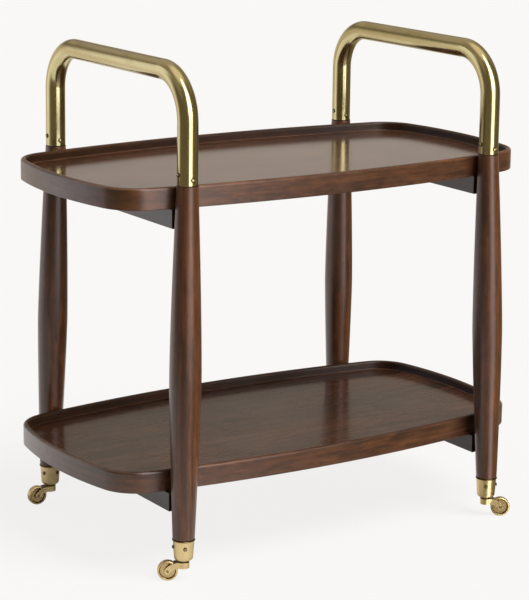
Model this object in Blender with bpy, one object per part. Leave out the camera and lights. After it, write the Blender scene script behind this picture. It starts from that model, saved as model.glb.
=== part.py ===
"""Serving trolley: two rimmed wooden trays on four turned legs, with tubular
end handles and brass cup casters.

Metres, +Z up. The origin is on the floor under the centre of the trolley,
X runs along the trays and -Y is the front.
"""
import math

import bpy
import bmesh
from mathutils import Matrix, Vector

# Clearances and cutting allowances
JOINT_GAP = 0.0003
RUNNING_GAP = 0.0004
CUT_OVERRUN = 0.004
MERGE_DISTANCE = 0.000003

# Trays: three arcs to each quarter of the outline; the upper one hangs just below the leg shoulders
TRAY_LENGTH = 0.806
TRAY_WIDTH = 0.424
TRAY_END_BOW_RADIUS = 0.620
TRAY_SIDE_BOW_RADIUS = 2.050
TRAY_CORNER_RADIUS = 0.067
UPPER_TRAY_DROP = 0.005
LOWER_TRAY_TOP = 0.171
RIM_HEIGHT = 0.034
RIM_RISE = 0.015
RIM_THICKNESS = 0.009
RIM_EDGE_ROUND = 0.0020
RIM_COVE = 0.0022
COVE_SWEEP = math.radians(75)
PANEL_EDGE_CHAMFER = 0.0008

# Legs: turned, thickest near the middle, leaning outward towards the floor, and standing
# just outside the long sides of the upper tray
LEG_TRAY_INSET = 0.116
LEG_TRAY_GAP = 0.0005
LEG_FOOT_SPLAY = 0.010
LEG_SHOULDER_TOP = 0.618
LEG_TOP_RADIUS = 0.0166
LEG_BELLY_RADIUS = 0.0248
LEG_BELLY_HEIGHT = 0.322
LEG_ANKLE_RADIUS = 0.0172
LEG_EDGE_CHAMFER = 0.0007
LEG_SPIGOT_LENGTH = 0.045
UPPER_SWELL_EXPONENT = 1.4
LOWER_SWELL_EXPONENT = 1.3

# Handles: one bent tube at each end, straight over the leg's spigot and a little beyond
HANDLE_TUBE_RADIUS = 0.016
HANDLE_TUBE_WALL = 0.0015
HANDLE_HOLLOW_STRAIGHT = 0.049
HANDLE_BEND_RADIUS = 0.072

# Cross rails between the front and back legs
RAIL_THICKNESS = 0.030
RAIL_HEIGHT = 0.030
RAIL_EDGE_CHAMFER = 0.0010
TENON_RADIUS = 0.008
TENON_LENGTH = 0.012
TENON_TIP_CHAMFER = 0.0010

# Caster cups
CUP_TOP = 0.0675
CUP_BOTTOM = 0.0335
CUP_LIP_RADIUS = 0.0180
CUP_LIP_HEIGHT = 0.0020
CUP_TOP_RADIUS = 0.0168
CUP_BASE_RADIUS = 0.0146
CUP_BOTTOM_ROUND = 0.0050
CUP_WALL = 0.0015
CUP_FLOOR = 0.0035
CUP_NECK_RADIUS = 0.0068
CUP_NECK_HEIGHT = 0.0030

# Caster horns, wheels and pins
WHEEL_RADIUS = 0.016
WHEEL_WIDTH = 0.0100
WHEEL_EDGE_ROUND = 0.0010
WHEEL_WEB_OUTER_RADIUS = 0.0128
WHEEL_HUB_RADIUS = 0.0046
WHEEL_WEB_RECESS = 0.0028
AXLE_RADIUS = 0.0019
CASTER_TRAIL = 0.0245
HORN_CHEEK = 0.0022
HORN_HEIGHT = 0.0095
HORN_TIP_RADIUS = 0.0050
HORN_STRAIGHT = 0.0075
HORN_BOSS_RADIUS = 0.0092
WHEEL_CLEARANCE = 0.0010
KINGPIN_RADIUS = 0.0030
KINGPIN_HEAD_RADIUS = 0.0052
KINGPIN_HEAD_HEIGHT = 0.0022
KINGPIN_RIVET_RADIUS = 0.0045
KINGPIN_RIVET_HEIGHT = 0.0016
RIVET_FACE_SHARE = 0.7

# Screws
HANDLE_SCREW_HEAD_RADIUS = 0.0036
HANDLE_SCREW_HEAD_HEIGHT = 0.0018
HANDLE_SCREW_SHANK_RADIUS = 0.0016
HANDLE_SCREW_LENGTH = 0.0095
HANDLE_END_SCREW_HEIGHT = 0.0160
HANDLE_FRONT_SCREW_HEIGHT = 0.0090
CUP_SCREW_HEAD_RADIUS = 0.0031
CUP_SCREW_HEAD_HEIGHT = 0.0015
CUP_SCREW_SHANK_RADIUS = 0.0014
CUP_SCREW_LENGTH = 0.0080
CUP_SCREW_DROP = 0.0125
TRAY_SCREW_HEAD_RADIUS = 0.0042
TRAY_SCREW_HEAD_HEIGHT = 0.0024
TRAY_SCREW_SHANK_RADIUS = 0.0018
TRAY_SCREW_REACH = 0.0100
TRAY_SCREW_SPACING = 0.220
TRAY_SCREW_POINT = 0.0030
SLOT_WIDTH = 0.0009
SLOT_DEPTH = 0.0008
DOME_SHARES = ((0, 1), (0.7, 0.75), (1, 0))

# Facets
LEG_FACETS = 20
LEG_STATIONS = 5
TUBE_FACETS = 20
BEND_STEPS = 6
CUP_FACETS = 20
WHEEL_FACETS = 20
PIN_FACETS = 12
SCREW_FACETS = 8
END_BOW_STEPS = 2
CORNER_STEPS = 6
SIDE_BOW_STEPS = 3
ROUND_STEPS = 2
HORN_ARC_STEPS = 5
SHARP_ANGLE = math.radians(32)

# Swivel angles of the casters and the first cup screw of each, in plan
CASTER_SWIVEL = {
    "front_left": math.radians(147.3),
    "back_left": math.radians(175.0),
    "front_right": math.radians(-32.7),
    "back_right": math.radians(32.7),
}
CUP_SCREW_AZIMUTH = {
    "front_left": math.radians(161),
    "back_left": math.radians(-161),
    "front_right": math.radians(-129),
    "back_right": math.radians(19),
}
HANDLE_END_SCREW_AZIMUTH = math.radians(180)
HANDLE_FRONT_SCREW_AZIMUTH = math.radians(270)
QUARTER_TURN = math.radians(90)
HALF_TURN = math.radians(180)
FULL_TURN = math.radians(360)

CORNERS = {
    "front_left": (-1, -1),
    "back_left": (-1, 1),
    "front_right": (1, -1),
    "back_right": (1, 1),
}
SIDES = {"left": -1, "right": 1}

# Derived sizes
UPPER_TRAY_TOP = LEG_SHOULDER_TOP - UPPER_TRAY_DROP
TRAY_TOPS = {"upper": UPPER_TRAY_TOP, "lower": LOWER_TRAY_TOP}
LEG_SHOULDER_BOTTOM = CUP_TOP + JOINT_GAP
PANEL_THICKNESS = RIM_HEIGHT - RIM_RISE
TUBE_BORE_RADIUS = HANDLE_TUBE_RADIUS - HANDLE_TUBE_WALL
HORN_TOP = CUP_BOTTOM - CUP_NECK_HEIGHT - JOINT_GAP
HORN_BOTTOM = HORN_TOP - HORN_HEIGHT
HORN_HALF_WIDTH = WHEEL_WIDTH / 2 + RUNNING_GAP + HORN_CHEEK
HANDLE_BEND_HEIGHT = LEG_SHOULDER_TOP + LEG_SPIGOT_LENGTH + HANDLE_HOLLOW_STRAIGHT


def leg_radius(height):
    """Radius of the turned leg between its shoulders."""
    if height > LEG_BELLY_HEIGHT:
        span = LEG_SHOULDER_TOP - LEG_BELLY_HEIGHT
        rise = min((height - LEG_BELLY_HEIGHT) / span, 1)
        return LEG_BELLY_RADIUS - (LEG_BELLY_RADIUS - LEG_TOP_RADIUS) * rise ** UPPER_SWELL_EXPONENT
    span = LEG_BELLY_HEIGHT - LEG_SHOULDER_BOTTOM
    drop = min((LEG_BELLY_HEIGHT - height) / span, 1)
    return LEG_BELLY_RADIUS - (LEG_BELLY_RADIUS - LEG_ANKLE_RADIUS) * drop ** LOWER_SWELL_EXPONENT


def leg_lean(height):
    """How far the leg axis has moved outward at a height, in X and in Y."""
    span = LEG_SHOULDER_TOP - LEG_SHOULDER_BOTTOM
    drop = (LEG_SHOULDER_TOP - height) / span
    return LEG_FOOT_SPLAY * min(max(drop, 0), 1)


def tray_side(x):
    """Half width of a tray at a distance from its middle, along the bowed side."""
    return TRAY_WIDTH / 2 - TRAY_SIDE_BOW_RADIUS + math.sqrt(TRAY_SIDE_BOW_RADIUS ** 2 - x ** 2)


def leg_row_distance():
    """Distance of the leg tops from the middle, so that the legs clear the upper tray's rim."""
    rim_foot = UPPER_TRAY_TOP - RIM_HEIGHT
    reach = leg_radius(rim_foot) - leg_lean(rim_foot)
    return tray_side(LEG_X) + reach + LEG_TRAY_GAP


LEG_X = TRAY_LENGTH / 2 - LEG_TRAY_INSET
LEG_Y = leg_row_distance()
CUP_X = LEG_X + LEG_FOOT_SPLAY
CUP_Y = LEG_Y + LEG_FOOT_SPLAY


def clear_scene():
    for old in list(bpy.data.objects):
        bpy.data.objects.remove(old, do_unlink=True)


def make_material(name, color, roughness, metallic):
    """A plain Principled material."""
    material = bpy.data.materials.new(name)
    material.use_nodes = True
    shader = material.node_tree.nodes["Principled BSDF"]
    shader.inputs["Base Color"].default_value = (*color, 1.0)
    shader.inputs["Roughness"].default_value = roughness
    shader.inputs["Metallic"].default_value = metallic
    material.diffuse_color = (*color, 1.0)
    return material


def mesh_from_bmesh(bm, name):
    bmesh.ops.recalc_face_normals(bm, faces=bm.faces[:])
    mesh = bpy.data.meshes.new(name)
    bm.to_mesh(mesh)
    bm.free()
    return mesh


def loft_mesh(rings, name, cyclic=False):
    """Skin over a row of rings with equal point counts, capped unless cyclic."""
    bm = bmesh.new()
    rows = [[bm.verts.new(point) for point in ring] for ring in rings]
    pairs = list(zip(rows, rows[1:]))
    if cyclic:
        pairs.append((rows[-1], rows[0]))
    for lower, upper in pairs:
        count = len(lower)
        for i in range(count):
            j = (i + 1) % count
            bm.faces.new((lower[i], lower[j], upper[j], upper[i]))
    if not cyclic:
        bm.faces.new(rows[0])
        bm.faces.new(rows[-1])
    return mesh_from_bmesh(bm, name)


def turned_mesh(profile, facets, name, closed=False):
    """Spin a profile of (radius, height) pairs once round Z."""
    bm = bmesh.new()
    verts = [bm.verts.new((radius, 0, height)) for radius, height in profile]
    edges = [bm.edges.new(pair) for pair in zip(verts, verts[1:])]
    if closed:
        edges.append(bm.edges.new((verts[-1], verts[0])))
    bmesh.ops.spin(
        bm, geom=verts + edges, axis=(0, 0, 1), cent=(0, 0, 0),
        steps=facets, angle=FULL_TURN, use_merge=True,
    )
    bmesh.ops.remove_doubles(bm, verts=bm.verts[:], dist=MERGE_DISTANCE)
    return mesh_from_bmesh(bm, name)


def prism_mesh(outline, bottom, top, name):
    """A flat outline of (x, y) pairs extruded between two heights."""
    rings = [[(x, y, z) for x, y in outline] for z in (bottom, top)]
    return loft_mesh(rings, name)


def box_mesh(size, name):
    bm = bmesh.new()
    bmesh.ops.create_cube(bm, size=1, matrix=Matrix.Diagonal((*size, 1)))
    return mesh_from_bmesh(bm, name)


def rod_mesh(radius, start, end, facets, name):
    """A plain round rod between two heights on Z."""
    profile = [(0, end), (radius, end), (radius, start), (0, start)]
    return turned_mesh(profile, facets, name)


def moved(mesh, matrix):
    copy = mesh.copy()
    copy.transform(matrix)
    return copy


def boolean_mesh(mesh, tools, operation, name):
    """Combine a mesh with each tool mesh in turn."""
    scene = bpy.context.scene
    body = bpy.data.objects.new(name, mesh)
    scene.collection.objects.link(body)
    helpers = []
    for tool in tools:
        helper = bpy.data.objects.new(name + "_tool", tool)
        scene.collection.objects.link(helper)
        helpers.append(helper)
        modifier = body.modifiers.new("cut", "BOOLEAN")
        modifier.operation = operation
        modifier.solver = "EXACT"
        modifier.object = helper
    graph = bpy.context.evaluated_depsgraph_get()
    result = bpy.data.meshes.new_from_object(body.evaluated_get(graph))
    for item in [body] + helpers:
        bpy.data.objects.remove(item, do_unlink=True)
    result.name = name
    return result


def add_piece(name, mesh, material, parent=None, location=(0, 0, 0)):
    """Place a mesh as one named piece of the trolley."""
    piece = bpy.data.objects.new(name, mesh)
    bpy.context.scene.collection.objects.link(piece)
    if not mesh.materials:
        mesh.materials.append(material)
        mesh.shade_smooth()
        mesh.set_sharp_from_angle(angle=SHARP_ANGLE)
    piece.location = location
    if parent:
        piece.parent = parent
    return piece


def circle(radius, facets, center=(0, 0)):
    steps = [FULL_TURN * i / facets for i in range(facets)]
    return [(center[0] + radius * math.cos(a), center[1] + radius * math.sin(a)) for a in steps]


def arc(center, radius, start, end, steps):
    """Points of an arc in a plane, both ends included."""
    angles = [start + (end - start) * i / steps for i in range(steps + 1)]
    return [(center[0] + radius * math.cos(a), center[1] + radius * math.sin(a)) for a in angles]


def along(direction, distance):
    return Matrix.Translation(Vector(direction) * distance)


def outward(azimuth):
    """Turns +Z to point out level at an azimuth."""
    return Matrix.Rotation(azimuth, 4, "Z") @ Matrix.Rotation(QUARTER_TURN, 4, "Y")


def cup_outer_radius(height):
    """Tapered wall of the cup, above its rounded bottom."""
    share = (height - CUP_BOTTOM) / (CUP_TOP - CUP_BOTTOM)
    return CUP_BASE_RADIUS + (CUP_TOP_RADIUS - CUP_BASE_RADIUS) * share


def tray_outline(inset):
    """Closed outline of a tray, moved inward by an inset, from four equal quarters."""
    half_length = TRAY_LENGTH / 2
    half_width = TRAY_WIDTH / 2
    end_center = Vector((half_length - TRAY_END_BOW_RADIUS, 0))
    side_center = Vector((0, half_width - TRAY_SIDE_BOW_RADIUS))
    end_reach = TRAY_END_BOW_RADIUS - TRAY_CORNER_RADIUS
    side_reach = TRAY_SIDE_BOW_RADIUS - TRAY_CORNER_RADIUS
    gap = end_center - side_center
    base = (side_reach ** 2 - end_reach ** 2 + gap.length_squared) / (2 * gap.length)
    height = math.sqrt(side_reach ** 2 - base ** 2)
    unit = gap.normalized()
    corner = side_center + unit * base + Vector((-unit.y, unit.x)) * height
    if corner.x < 0:
        corner = side_center + unit * base - Vector((-unit.y, unit.x)) * height
    end_angle = math.atan2(corner.y - end_center.y, corner.x - end_center.x)
    side_angle = math.atan2(corner.y - side_center.y, corner.x - side_center.x)
    quarter = arc(end_center, TRAY_END_BOW_RADIUS - inset, 0, end_angle, END_BOW_STEPS)
    quarter += arc(corner, TRAY_CORNER_RADIUS - inset, end_angle, side_angle, CORNER_STEPS)[1:]
    quarter += arc(
        side_center, TRAY_SIDE_BOW_RADIUS - inset, side_angle, QUARTER_TURN, SIDE_BOW_STEPS
    )[1:]
    back_left = [(-x, y) for x, y in reversed(quarter[:-1])]
    front_left = [(-x, -y) for x, y in quarter[1:]]
    front_right = [(x, -y) for x, y in reversed(quarter[1:-1])]
    return quarter + back_left + front_left + front_right


def cove_lip():
    """How far the cove at the foot of the rim reaches in from the outer face."""
    return RIM_THICKNESS + RIM_COVE * (1 + math.cos(HALF_TURN + COVE_SWEEP))


def rim_profile():
    """Section of a tray rim as (inset from the outer face, height) pairs."""
    edge = RIM_EDGE_ROUND
    cove = RIM_COVE
    thick = RIM_THICKNESS
    top = RIM_HEIGHT
    foot = PANEL_THICKNESS + JOINT_GAP
    points = [(edge / 2, 0), (0, edge / 2)]
    points += arc((edge, top - edge), edge, HALF_TURN, QUARTER_TURN, ROUND_STEPS)
    points += arc((thick - edge, top - edge), edge, QUARTER_TURN, 0, ROUND_STEPS)
    points += arc((thick + cove, foot + cove), cove, HALF_TURN, HALF_TURN + COVE_SWEEP, ROUND_STEPS)
    points += [(cove_lip(), foot), (thick, foot), (thick, 0)]
    return points


def make_rim_mesh():
    """The rim as a ring of equal sections, with a small cove over the panel's edge."""
    runs = [[(x, y, z) for x, y in tray_outline(inset)] for inset, z in rim_profile()]
    sections = list(zip(*runs))
    return loft_mesh(sections, "tray_rim", cyclic=True)


def rail_top(level):
    """Underside of a tray, where its rails meet it."""
    return TRAY_TOPS[level] - RIM_HEIGHT - JOINT_GAP


def rail_middle(level):
    return rail_top(level) - RAIL_HEIGHT / 2


def rail_x(level):
    """Distance of a rail's centre line from the middle of the trolley."""
    return LEG_X + leg_lean(rail_middle(level))


def rail_end(level):
    """Half length of a rail, up to the nearest point of the legs."""
    heights = (rail_top(level), rail_middle(level), rail_top(level) - RAIL_HEIGHT)
    return min(LEG_Y + leg_lean(z) - leg_radius(z) for z in heights) - JOINT_GAP


def tray_screw_places(level):
    return [(x * rail_x(level), y * TRAY_SCREW_SPACING / 2) for x in (-1, 1) for y in (-1, 1)]


def make_panel_mesh(level):
    """The flat tray board, with blind holes for the screws from the rails."""
    side = RIM_THICKNESS + JOINT_GAP
    chamfer = PANEL_EDGE_CHAMFER
    levels = [
        (side + chamfer, 0),
        (side, chamfer),
        (side, PANEL_THICKNESS - chamfer),
        (cove_lip() + JOINT_GAP, PANEL_THICKNESS),
    ]
    rings = [[(x, y, z) for x, y in tray_outline(inset)] for inset, z in levels]
    board = loft_mesh(rings, level + "_tray_panel")
    depth = TRAY_SCREW_REACH + TRAY_SCREW_POINT
    hole = rod_mesh(TRAY_SCREW_SHANK_RADIUS + JOINT_GAP, -CUT_OVERRUN, depth, SCREW_FACETS, "hole")
    holes = [moved(hole, Matrix.Translation((x, y, 0))) for x, y in tray_screw_places(level)]
    return boolean_mesh(board, holes, "DIFFERENCE", level + "_tray_panel")


def screw_holes(center, places, shank, start, end):
    """Level holes that point out of an upright axis, one for each (azimuth, height) place."""
    hole = rod_mesh(shank + JOINT_GAP, start, end, SCREW_FACETS, "hole")
    return [
        moved(hole, Matrix.Translation((*center, height)) @ outward(azimuth))
        for azimuth, height in places
    ]


def cup_screw_height():
    return CUP_TOP - CUP_SCREW_DROP


def cup_screw_places(corner):
    """(azimuth, height) of the two screws of a caster cup."""
    first = CUP_SCREW_AZIMUTH[corner]
    return ((first, cup_screw_height()), (first + QUARTER_TURN, cup_screw_height()))


def handle_screw_places():
    """(azimuth, height) of the two screws of a handle's foot, one above the other's level."""
    return (
        (HANDLE_END_SCREW_AZIMUTH, LEG_SHOULDER_TOP + HANDLE_END_SCREW_HEIGHT),
        (HANDLE_FRONT_SCREW_AZIMUTH, LEG_SHOULDER_TOP + HANDLE_FRONT_SCREW_HEIGHT),
    )


def kingpin_head_bottom():
    return CUP_BOTTOM + CUP_FLOOR + JOINT_GAP


def leg_stations():
    """(height, radius) pairs up the turned leg with its two spigots."""
    foot = kingpin_head_bottom() + KINGPIN_HEAD_HEIGHT + JOINT_GAP
    inset = CUP_WALL + JOINT_GAP
    low = LEG_SHOULDER_BOTTOM
    high = LEG_SHOULDER_TOP - JOINT_GAP
    edge = LEG_EDGE_CHAMFER
    spigot = TUBE_BORE_RADIUS - JOINT_GAP
    tip = high + LEG_SPIGOT_LENGTH
    stations = [
        (foot, cup_outer_radius(foot) - inset - edge),
        (foot + edge, cup_outer_radius(foot + edge) - inset),
        (low, cup_outer_radius(CUP_TOP) - inset),
        (low, leg_radius(low) - edge),
        (low + edge, leg_radius(low)),
    ]
    for start, end in ((low + edge, LEG_BELLY_HEIGHT), (LEG_BELLY_HEIGHT, high - edge)):
        for i in range(1, LEG_STATIONS + 1):
            height = start + (end - start) * i / LEG_STATIONS
            stations.append((height, leg_radius(height)))
    stations += [
        (high, leg_radius(high) - edge),
        (high, spigot),
        (tip - edge, spigot),
        (tip, spigot - edge),
    ]
    return stations


def make_leg_mesh(corner):
    """One leg, leaning outward, with mortises for two rails and pilot holes for screws."""
    side_x, side_y = CORNERS[corner]
    rings = []
    for height, radius in leg_stations():
        lean = leg_lean(height)
        center = (side_x * (LEG_X + lean), side_y * (LEG_Y + lean))
        rings.append([(x, y, height) for x, y in circle(radius, LEG_FACETS, center)])
    leg = loft_mesh(rings, corner + "_leg")
    cutters = screw_holes(
        (side_x * LEG_X, side_y * LEG_Y), handle_screw_places(), HANDLE_SCREW_SHANK_RADIUS,
        HANDLE_TUBE_RADIUS - HANDLE_SCREW_LENGTH - JOINT_GAP, HANDLE_TUBE_RADIUS,
    )
    cutters += screw_holes(
        (side_x * CUP_X, side_y * CUP_Y), cup_screw_places(corner), CUP_SCREW_SHANK_RADIUS,
        CUP_BASE_RADIUS - CUP_SCREW_LENGTH - JOINT_GAP, CUP_LIP_RADIUS,
    )
    for level in TRAY_TOPS:
        mortise = rod_mesh(
            TENON_RADIUS + JOINT_GAP, -CUT_OVERRUN, TENON_LENGTH + JOINT_GAP, PIN_FACETS, "mortise"
        )
        mouth = (side_x * rail_x(level), side_y * rail_end(level), rail_middle(level))
        turned = Matrix.Translation(mouth) @ outward(side_y * QUARTER_TURN)
        cutters.append(moved(mortise, turned))
    return boolean_mesh(leg, cutters, "DIFFERENCE", corner + "_leg")


def handle_stations():
    """(y, z, normal angle) along the bent tube's centre line, front to back."""
    low = HANDLE_BEND_HEIGHT
    inner = LEG_Y - HANDLE_BEND_RADIUS
    stations = [(-LEG_Y, LEG_SHOULDER_TOP, HALF_TURN)]
    for center, start in ((-inner, HALF_TURN), (inner, QUARTER_TURN)):
        for i in range(BEND_STEPS + 1):
            angle = start - QUARTER_TURN * i / BEND_STEPS
            y = center + HANDLE_BEND_RADIUS * math.cos(angle)
            z = low + HANDLE_BEND_RADIUS * math.sin(angle)
            stations.append((y, z, angle))
    stations.append((LEG_Y, LEG_SHOULDER_TOP, 0))
    return stations


def make_handle_mesh(side):
    """Bent tube, open at both feet, drilled for two screws in each foot."""
    loops = []
    for radius in (HANDLE_TUBE_RADIUS, TUBE_BORE_RADIUS):
        run = []
        for y, z, angle in handle_stations():
            normal = Vector((0, math.cos(angle), math.sin(angle)))
            middle = Vector((SIDES[side] * LEG_X, y, z))
            run.append([middle + Vector((u, 0, 0)) + normal * v for u, v in circle(radius, TUBE_FACETS)])
        loops.append(run)
    tube = loft_mesh(loops[0] + loops[1][::-1], side + "_handle", cyclic=True)
    holes = []
    for side_y in (-1, 1):
        holes += screw_holes(
            (SIDES[side] * LEG_X, side_y * LEG_Y), handle_screw_places(),
            HANDLE_SCREW_SHANK_RADIUS, HANDLE_TUBE_RADIUS / 2, HANDLE_TUBE_RADIUS + CUT_OVERRUN,
        )
    return boolean_mesh(tube, holes, "DIFFERENCE", side + "_handle")


def countersink_profile(clearance):
    """Outer side of a countersunk screw's head and shank, from the head up."""
    head = TRAY_SCREW_HEAD_RADIUS + clearance
    shank = TRAY_SCREW_SHANK_RADIUS + clearance
    return [(head, 0), (shank, TRAY_SCREW_HEAD_HEIGHT)]


def make_rail_mesh(level):
    """A straight rail along Y with a round tenon at each end and two screw holes."""
    half = RAIL_THICKNESS / 2
    edge = RAIL_EDGE_CHAMFER
    low = -RAIL_HEIGHT / 2
    end = rail_end(level)
    section = []
    for x, z in ((-1, -1), (1, -1), (1, 1), (-1, 1)):
        side_point = (x * half, z * (-low - edge))
        flat_point = (x * (half - edge), z * -low)
        section += [side_point, flat_point] if x * z > 0 else [flat_point, side_point]
    rail = loft_mesh([[(x, y, z) for x, z in section] for y in (-end, end)], level + "_rail")
    tip = end + TENON_LENGTH
    profile = [
        (0, tip),
        (TENON_RADIUS - TENON_TIP_CHAMFER, tip),
        (TENON_RADIUS, tip - TENON_TIP_CHAMFER),
        (TENON_RADIUS, end - CUT_OVERRUN),
        (0, end - CUT_OVERRUN),
    ]
    tenon = turned_mesh(profile, PIN_FACETS, "tenon")
    tenons = [moved(tenon, outward(sign * QUARTER_TURN)) for sign in (-1, 1)]
    rail = boolean_mesh(rail, tenons, "UNION", level + "_rail")
    (wide, mouth), (narrow, neck) = countersink_profile(JOINT_GAP)
    through = [
        (0, CUT_OVERRUN - low),
        (narrow, CUT_OVERRUN - low),
        (narrow, low + neck),
        (wide, low + mouth),
        (wide, low - CUT_OVERRUN),
        (0, low - CUT_OVERRUN),
    ]
    hole = turned_mesh(through, SCREW_FACETS, "hole")
    holes = [moved(hole, along((0, sign, 0), TRAY_SCREW_SPACING / 2)) for sign in (-1, 1)]
    return boolean_mesh(rail, holes, "DIFFERENCE", level + "_rail")


def slot_mesh(radius, height):
    slot = box_mesh((2 * radius + CUT_OVERRUN, SLOT_WIDTH, 2 * SLOT_DEPTH), "slot")
    return moved(slot, Matrix.Translation((0, 0, height)))


def make_round_screw_mesh(head, dome, shank, length, name):
    """Slotted screw with a domed head, pointing down from the seat of its head."""
    profile = [(head * r, dome * z) for r, z in DOME_SHARES]
    profile += [(shank, 0), (shank, shank - length), (0, -length)]
    screw = turned_mesh(profile, SCREW_FACETS, name)
    return boolean_mesh(screw, [slot_mesh(head, dome)], "DIFFERENCE", name)


def make_tray_screw_mesh():
    """Countersunk wood screw, head at the bottom, reaching through a rail into the tray."""
    head, shank = countersink_profile(0)
    tip = RAIL_HEIGHT + JOINT_GAP + TRAY_SCREW_REACH
    profile = [(0, tip), (shank[0], tip - TRAY_SCREW_POINT), shank, head, (0, 0)]
    screw = turned_mesh(profile, SCREW_FACETS, "tray_screw")
    return boolean_mesh(screw, [slot_mesh(head[0], 0)], "DIFFERENCE", "tray_screw")


def make_cup_mesh():
    """Tapered cup with a flared lip, a floor and a neck with the kingpin's hole."""
    hole = KINGPIN_RADIUS + JOINT_GAP
    floor = CUP_BOTTOM + CUP_FLOOR
    lip_low = CUP_TOP - CUP_LIP_HEIGHT
    round_top = CUP_BOTTOM + CUP_BOTTOM_ROUND
    profile = [
        (hole, floor),
        (cup_outer_radius(floor) - CUP_WALL, floor),
        (cup_outer_radius(CUP_TOP) - CUP_WALL, CUP_TOP),
        (CUP_LIP_RADIUS, CUP_TOP),
        (CUP_LIP_RADIUS, lip_low),
        (cup_outer_radius(lip_low), lip_low),
    ]
    corner = (cup_outer_radius(round_top) - CUP_BOTTOM_ROUND, round_top)
    profile += arc(corner, CUP_BOTTOM_ROUND, 0, -QUARTER_TURN, ROUND_STEPS)
    neck_bottom = CUP_BOTTOM - CUP_NECK_HEIGHT
    profile += [(CUP_NECK_RADIUS, CUP_BOTTOM), (CUP_NECK_RADIUS, neck_bottom), (hole, neck_bottom)]
    return turned_mesh(profile, CUP_FACETS, "caster_cup", closed=True)


def make_drilled_cup_mesh(corner):
    holes = screw_holes(
        (0, 0), cup_screw_places(corner), CUP_SCREW_SHANK_RADIUS,
        CUP_BASE_RADIUS / 2, CUP_LIP_RADIUS + CUT_OVERRUN,
    )
    return boolean_mesh(make_cup_mesh(), holes, "DIFFERENCE", corner + "_caster_cup")


def make_kingpin_mesh():
    """Riveted pin: head on the cup's floor, shank through the horn, rivet under it."""
    head_low = kingpin_head_bottom()
    head_high = head_low + KINGPIN_HEAD_HEIGHT
    rivet_high = HORN_BOTTOM - RUNNING_GAP
    rivet_low = rivet_high - KINGPIN_RIVET_HEIGHT
    profile = [
        (0, head_high),
        (KINGPIN_HEAD_RADIUS, head_high),
        (KINGPIN_HEAD_RADIUS, head_low),
        (KINGPIN_RADIUS, head_low),
        (KINGPIN_RADIUS, rivet_high),
        (KINGPIN_RIVET_RADIUS, rivet_high),
        (KINGPIN_RIVET_RADIUS * RIVET_FACE_SHARE, rivet_low),
        (0, rivet_low),
    ]
    return turned_mesh(profile, PIN_FACETS, "caster_kingpin")


def tangent_arm(height, tip_radius, inner):
    """Centre height and radius of the arc from a level edge to the round tip of the arm."""
    reach = CASTER_TRAIL - HORN_STRAIGHT
    drop = height - WHEEL_RADIUS
    sign = 1 if inner else -1
    radius = (reach ** 2 + drop ** 2 - tip_radius ** 2) / (2 * (drop + sign * tip_radius))
    return height - radius, radius


def horn_side_outline():
    """Side view of the horn as (along the trail, height) pairs."""
    tip = (CASTER_TRAIL, WHEEL_RADIUS)
    back = -HORN_BOSS_RADIUS - CUT_OVERRUN
    high_center, high_radius = tangent_arm(HORN_TOP, HORN_TIP_RADIUS, False)
    low_center, low_radius = tangent_arm(HORN_BOTTOM, HORN_TIP_RADIUS, True)
    high_angle = math.atan2(tip[1] - high_center, tip[0] - HORN_STRAIGHT)
    low_angle = math.atan2(tip[1] - low_center, tip[0] - HORN_STRAIGHT)
    steps = HORN_ARC_STEPS
    outline = [(back, HORN_TOP)]
    outline += arc((HORN_STRAIGHT, high_center), high_radius, QUARTER_TURN, high_angle, steps)
    outline += arc(tip, HORN_TIP_RADIUS, high_angle, low_angle - HALF_TURN, steps)[1:]
    outline += arc((HORN_STRAIGHT, low_center), low_radius, low_angle, QUARTER_TURN, steps)[1:]
    outline.append((back, HORN_BOTTOM))
    return outline


def horn_plan_outline():
    """Plan of the horn: a round boss with two straight sides towards the wheel."""
    half = HORN_HALF_WIDTH
    start = math.asin(half / HORN_BOSS_RADIUS)
    outline = arc((0, 0), HORN_BOSS_RADIUS, start, FULL_TURN - start, 2 * HORN_ARC_STEPS)
    front = CASTER_TRAIL + HORN_TIP_RADIUS + CUT_OVERRUN
    return outline + [(front, -half), (front, half)]


def make_horn_mesh():
    """Forked horn: boss under the cup and two arms that curve down past the wheel."""
    side = prism_mesh(horn_side_outline(), -HORN_BOSS_RADIUS - CUT_OVERRUN,
                      HORN_BOSS_RADIUS + CUT_OVERRUN, "side")
    upright = Matrix.Rotation(QUARTER_TURN, 4, "X")
    side = moved(side, upright)
    plan = prism_mesh(horn_plan_outline(), 0, HORN_TOP + CUT_OVERRUN, "plan")
    horn = boolean_mesh(side, [plan], "INTERSECT", "caster_horn")
    axle = Matrix.Translation((CASTER_TRAIL, 0, WHEEL_RADIUS)) @ upright
    half_slot = WHEEL_WIDTH / 2 + RUNNING_GAP
    slot = rod_mesh(WHEEL_RADIUS + WHEEL_CLEARANCE, -half_slot, half_slot, WHEEL_FACETS, "slot")
    half_bore = HORN_BOSS_RADIUS + CUT_OVERRUN
    bore = rod_mesh(AXLE_RADIUS + JOINT_GAP, -half_bore, half_bore, PIN_FACETS, "bore")
    well = rod_mesh(KINGPIN_RADIUS + RUNNING_GAP, 0, HORN_TOP + CUT_OVERRUN, PIN_FACETS, "well")
    return boolean_mesh(horn, [moved(slot, axle), moved(bore, axle), well], "DIFFERENCE", "caster_horn")


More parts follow.
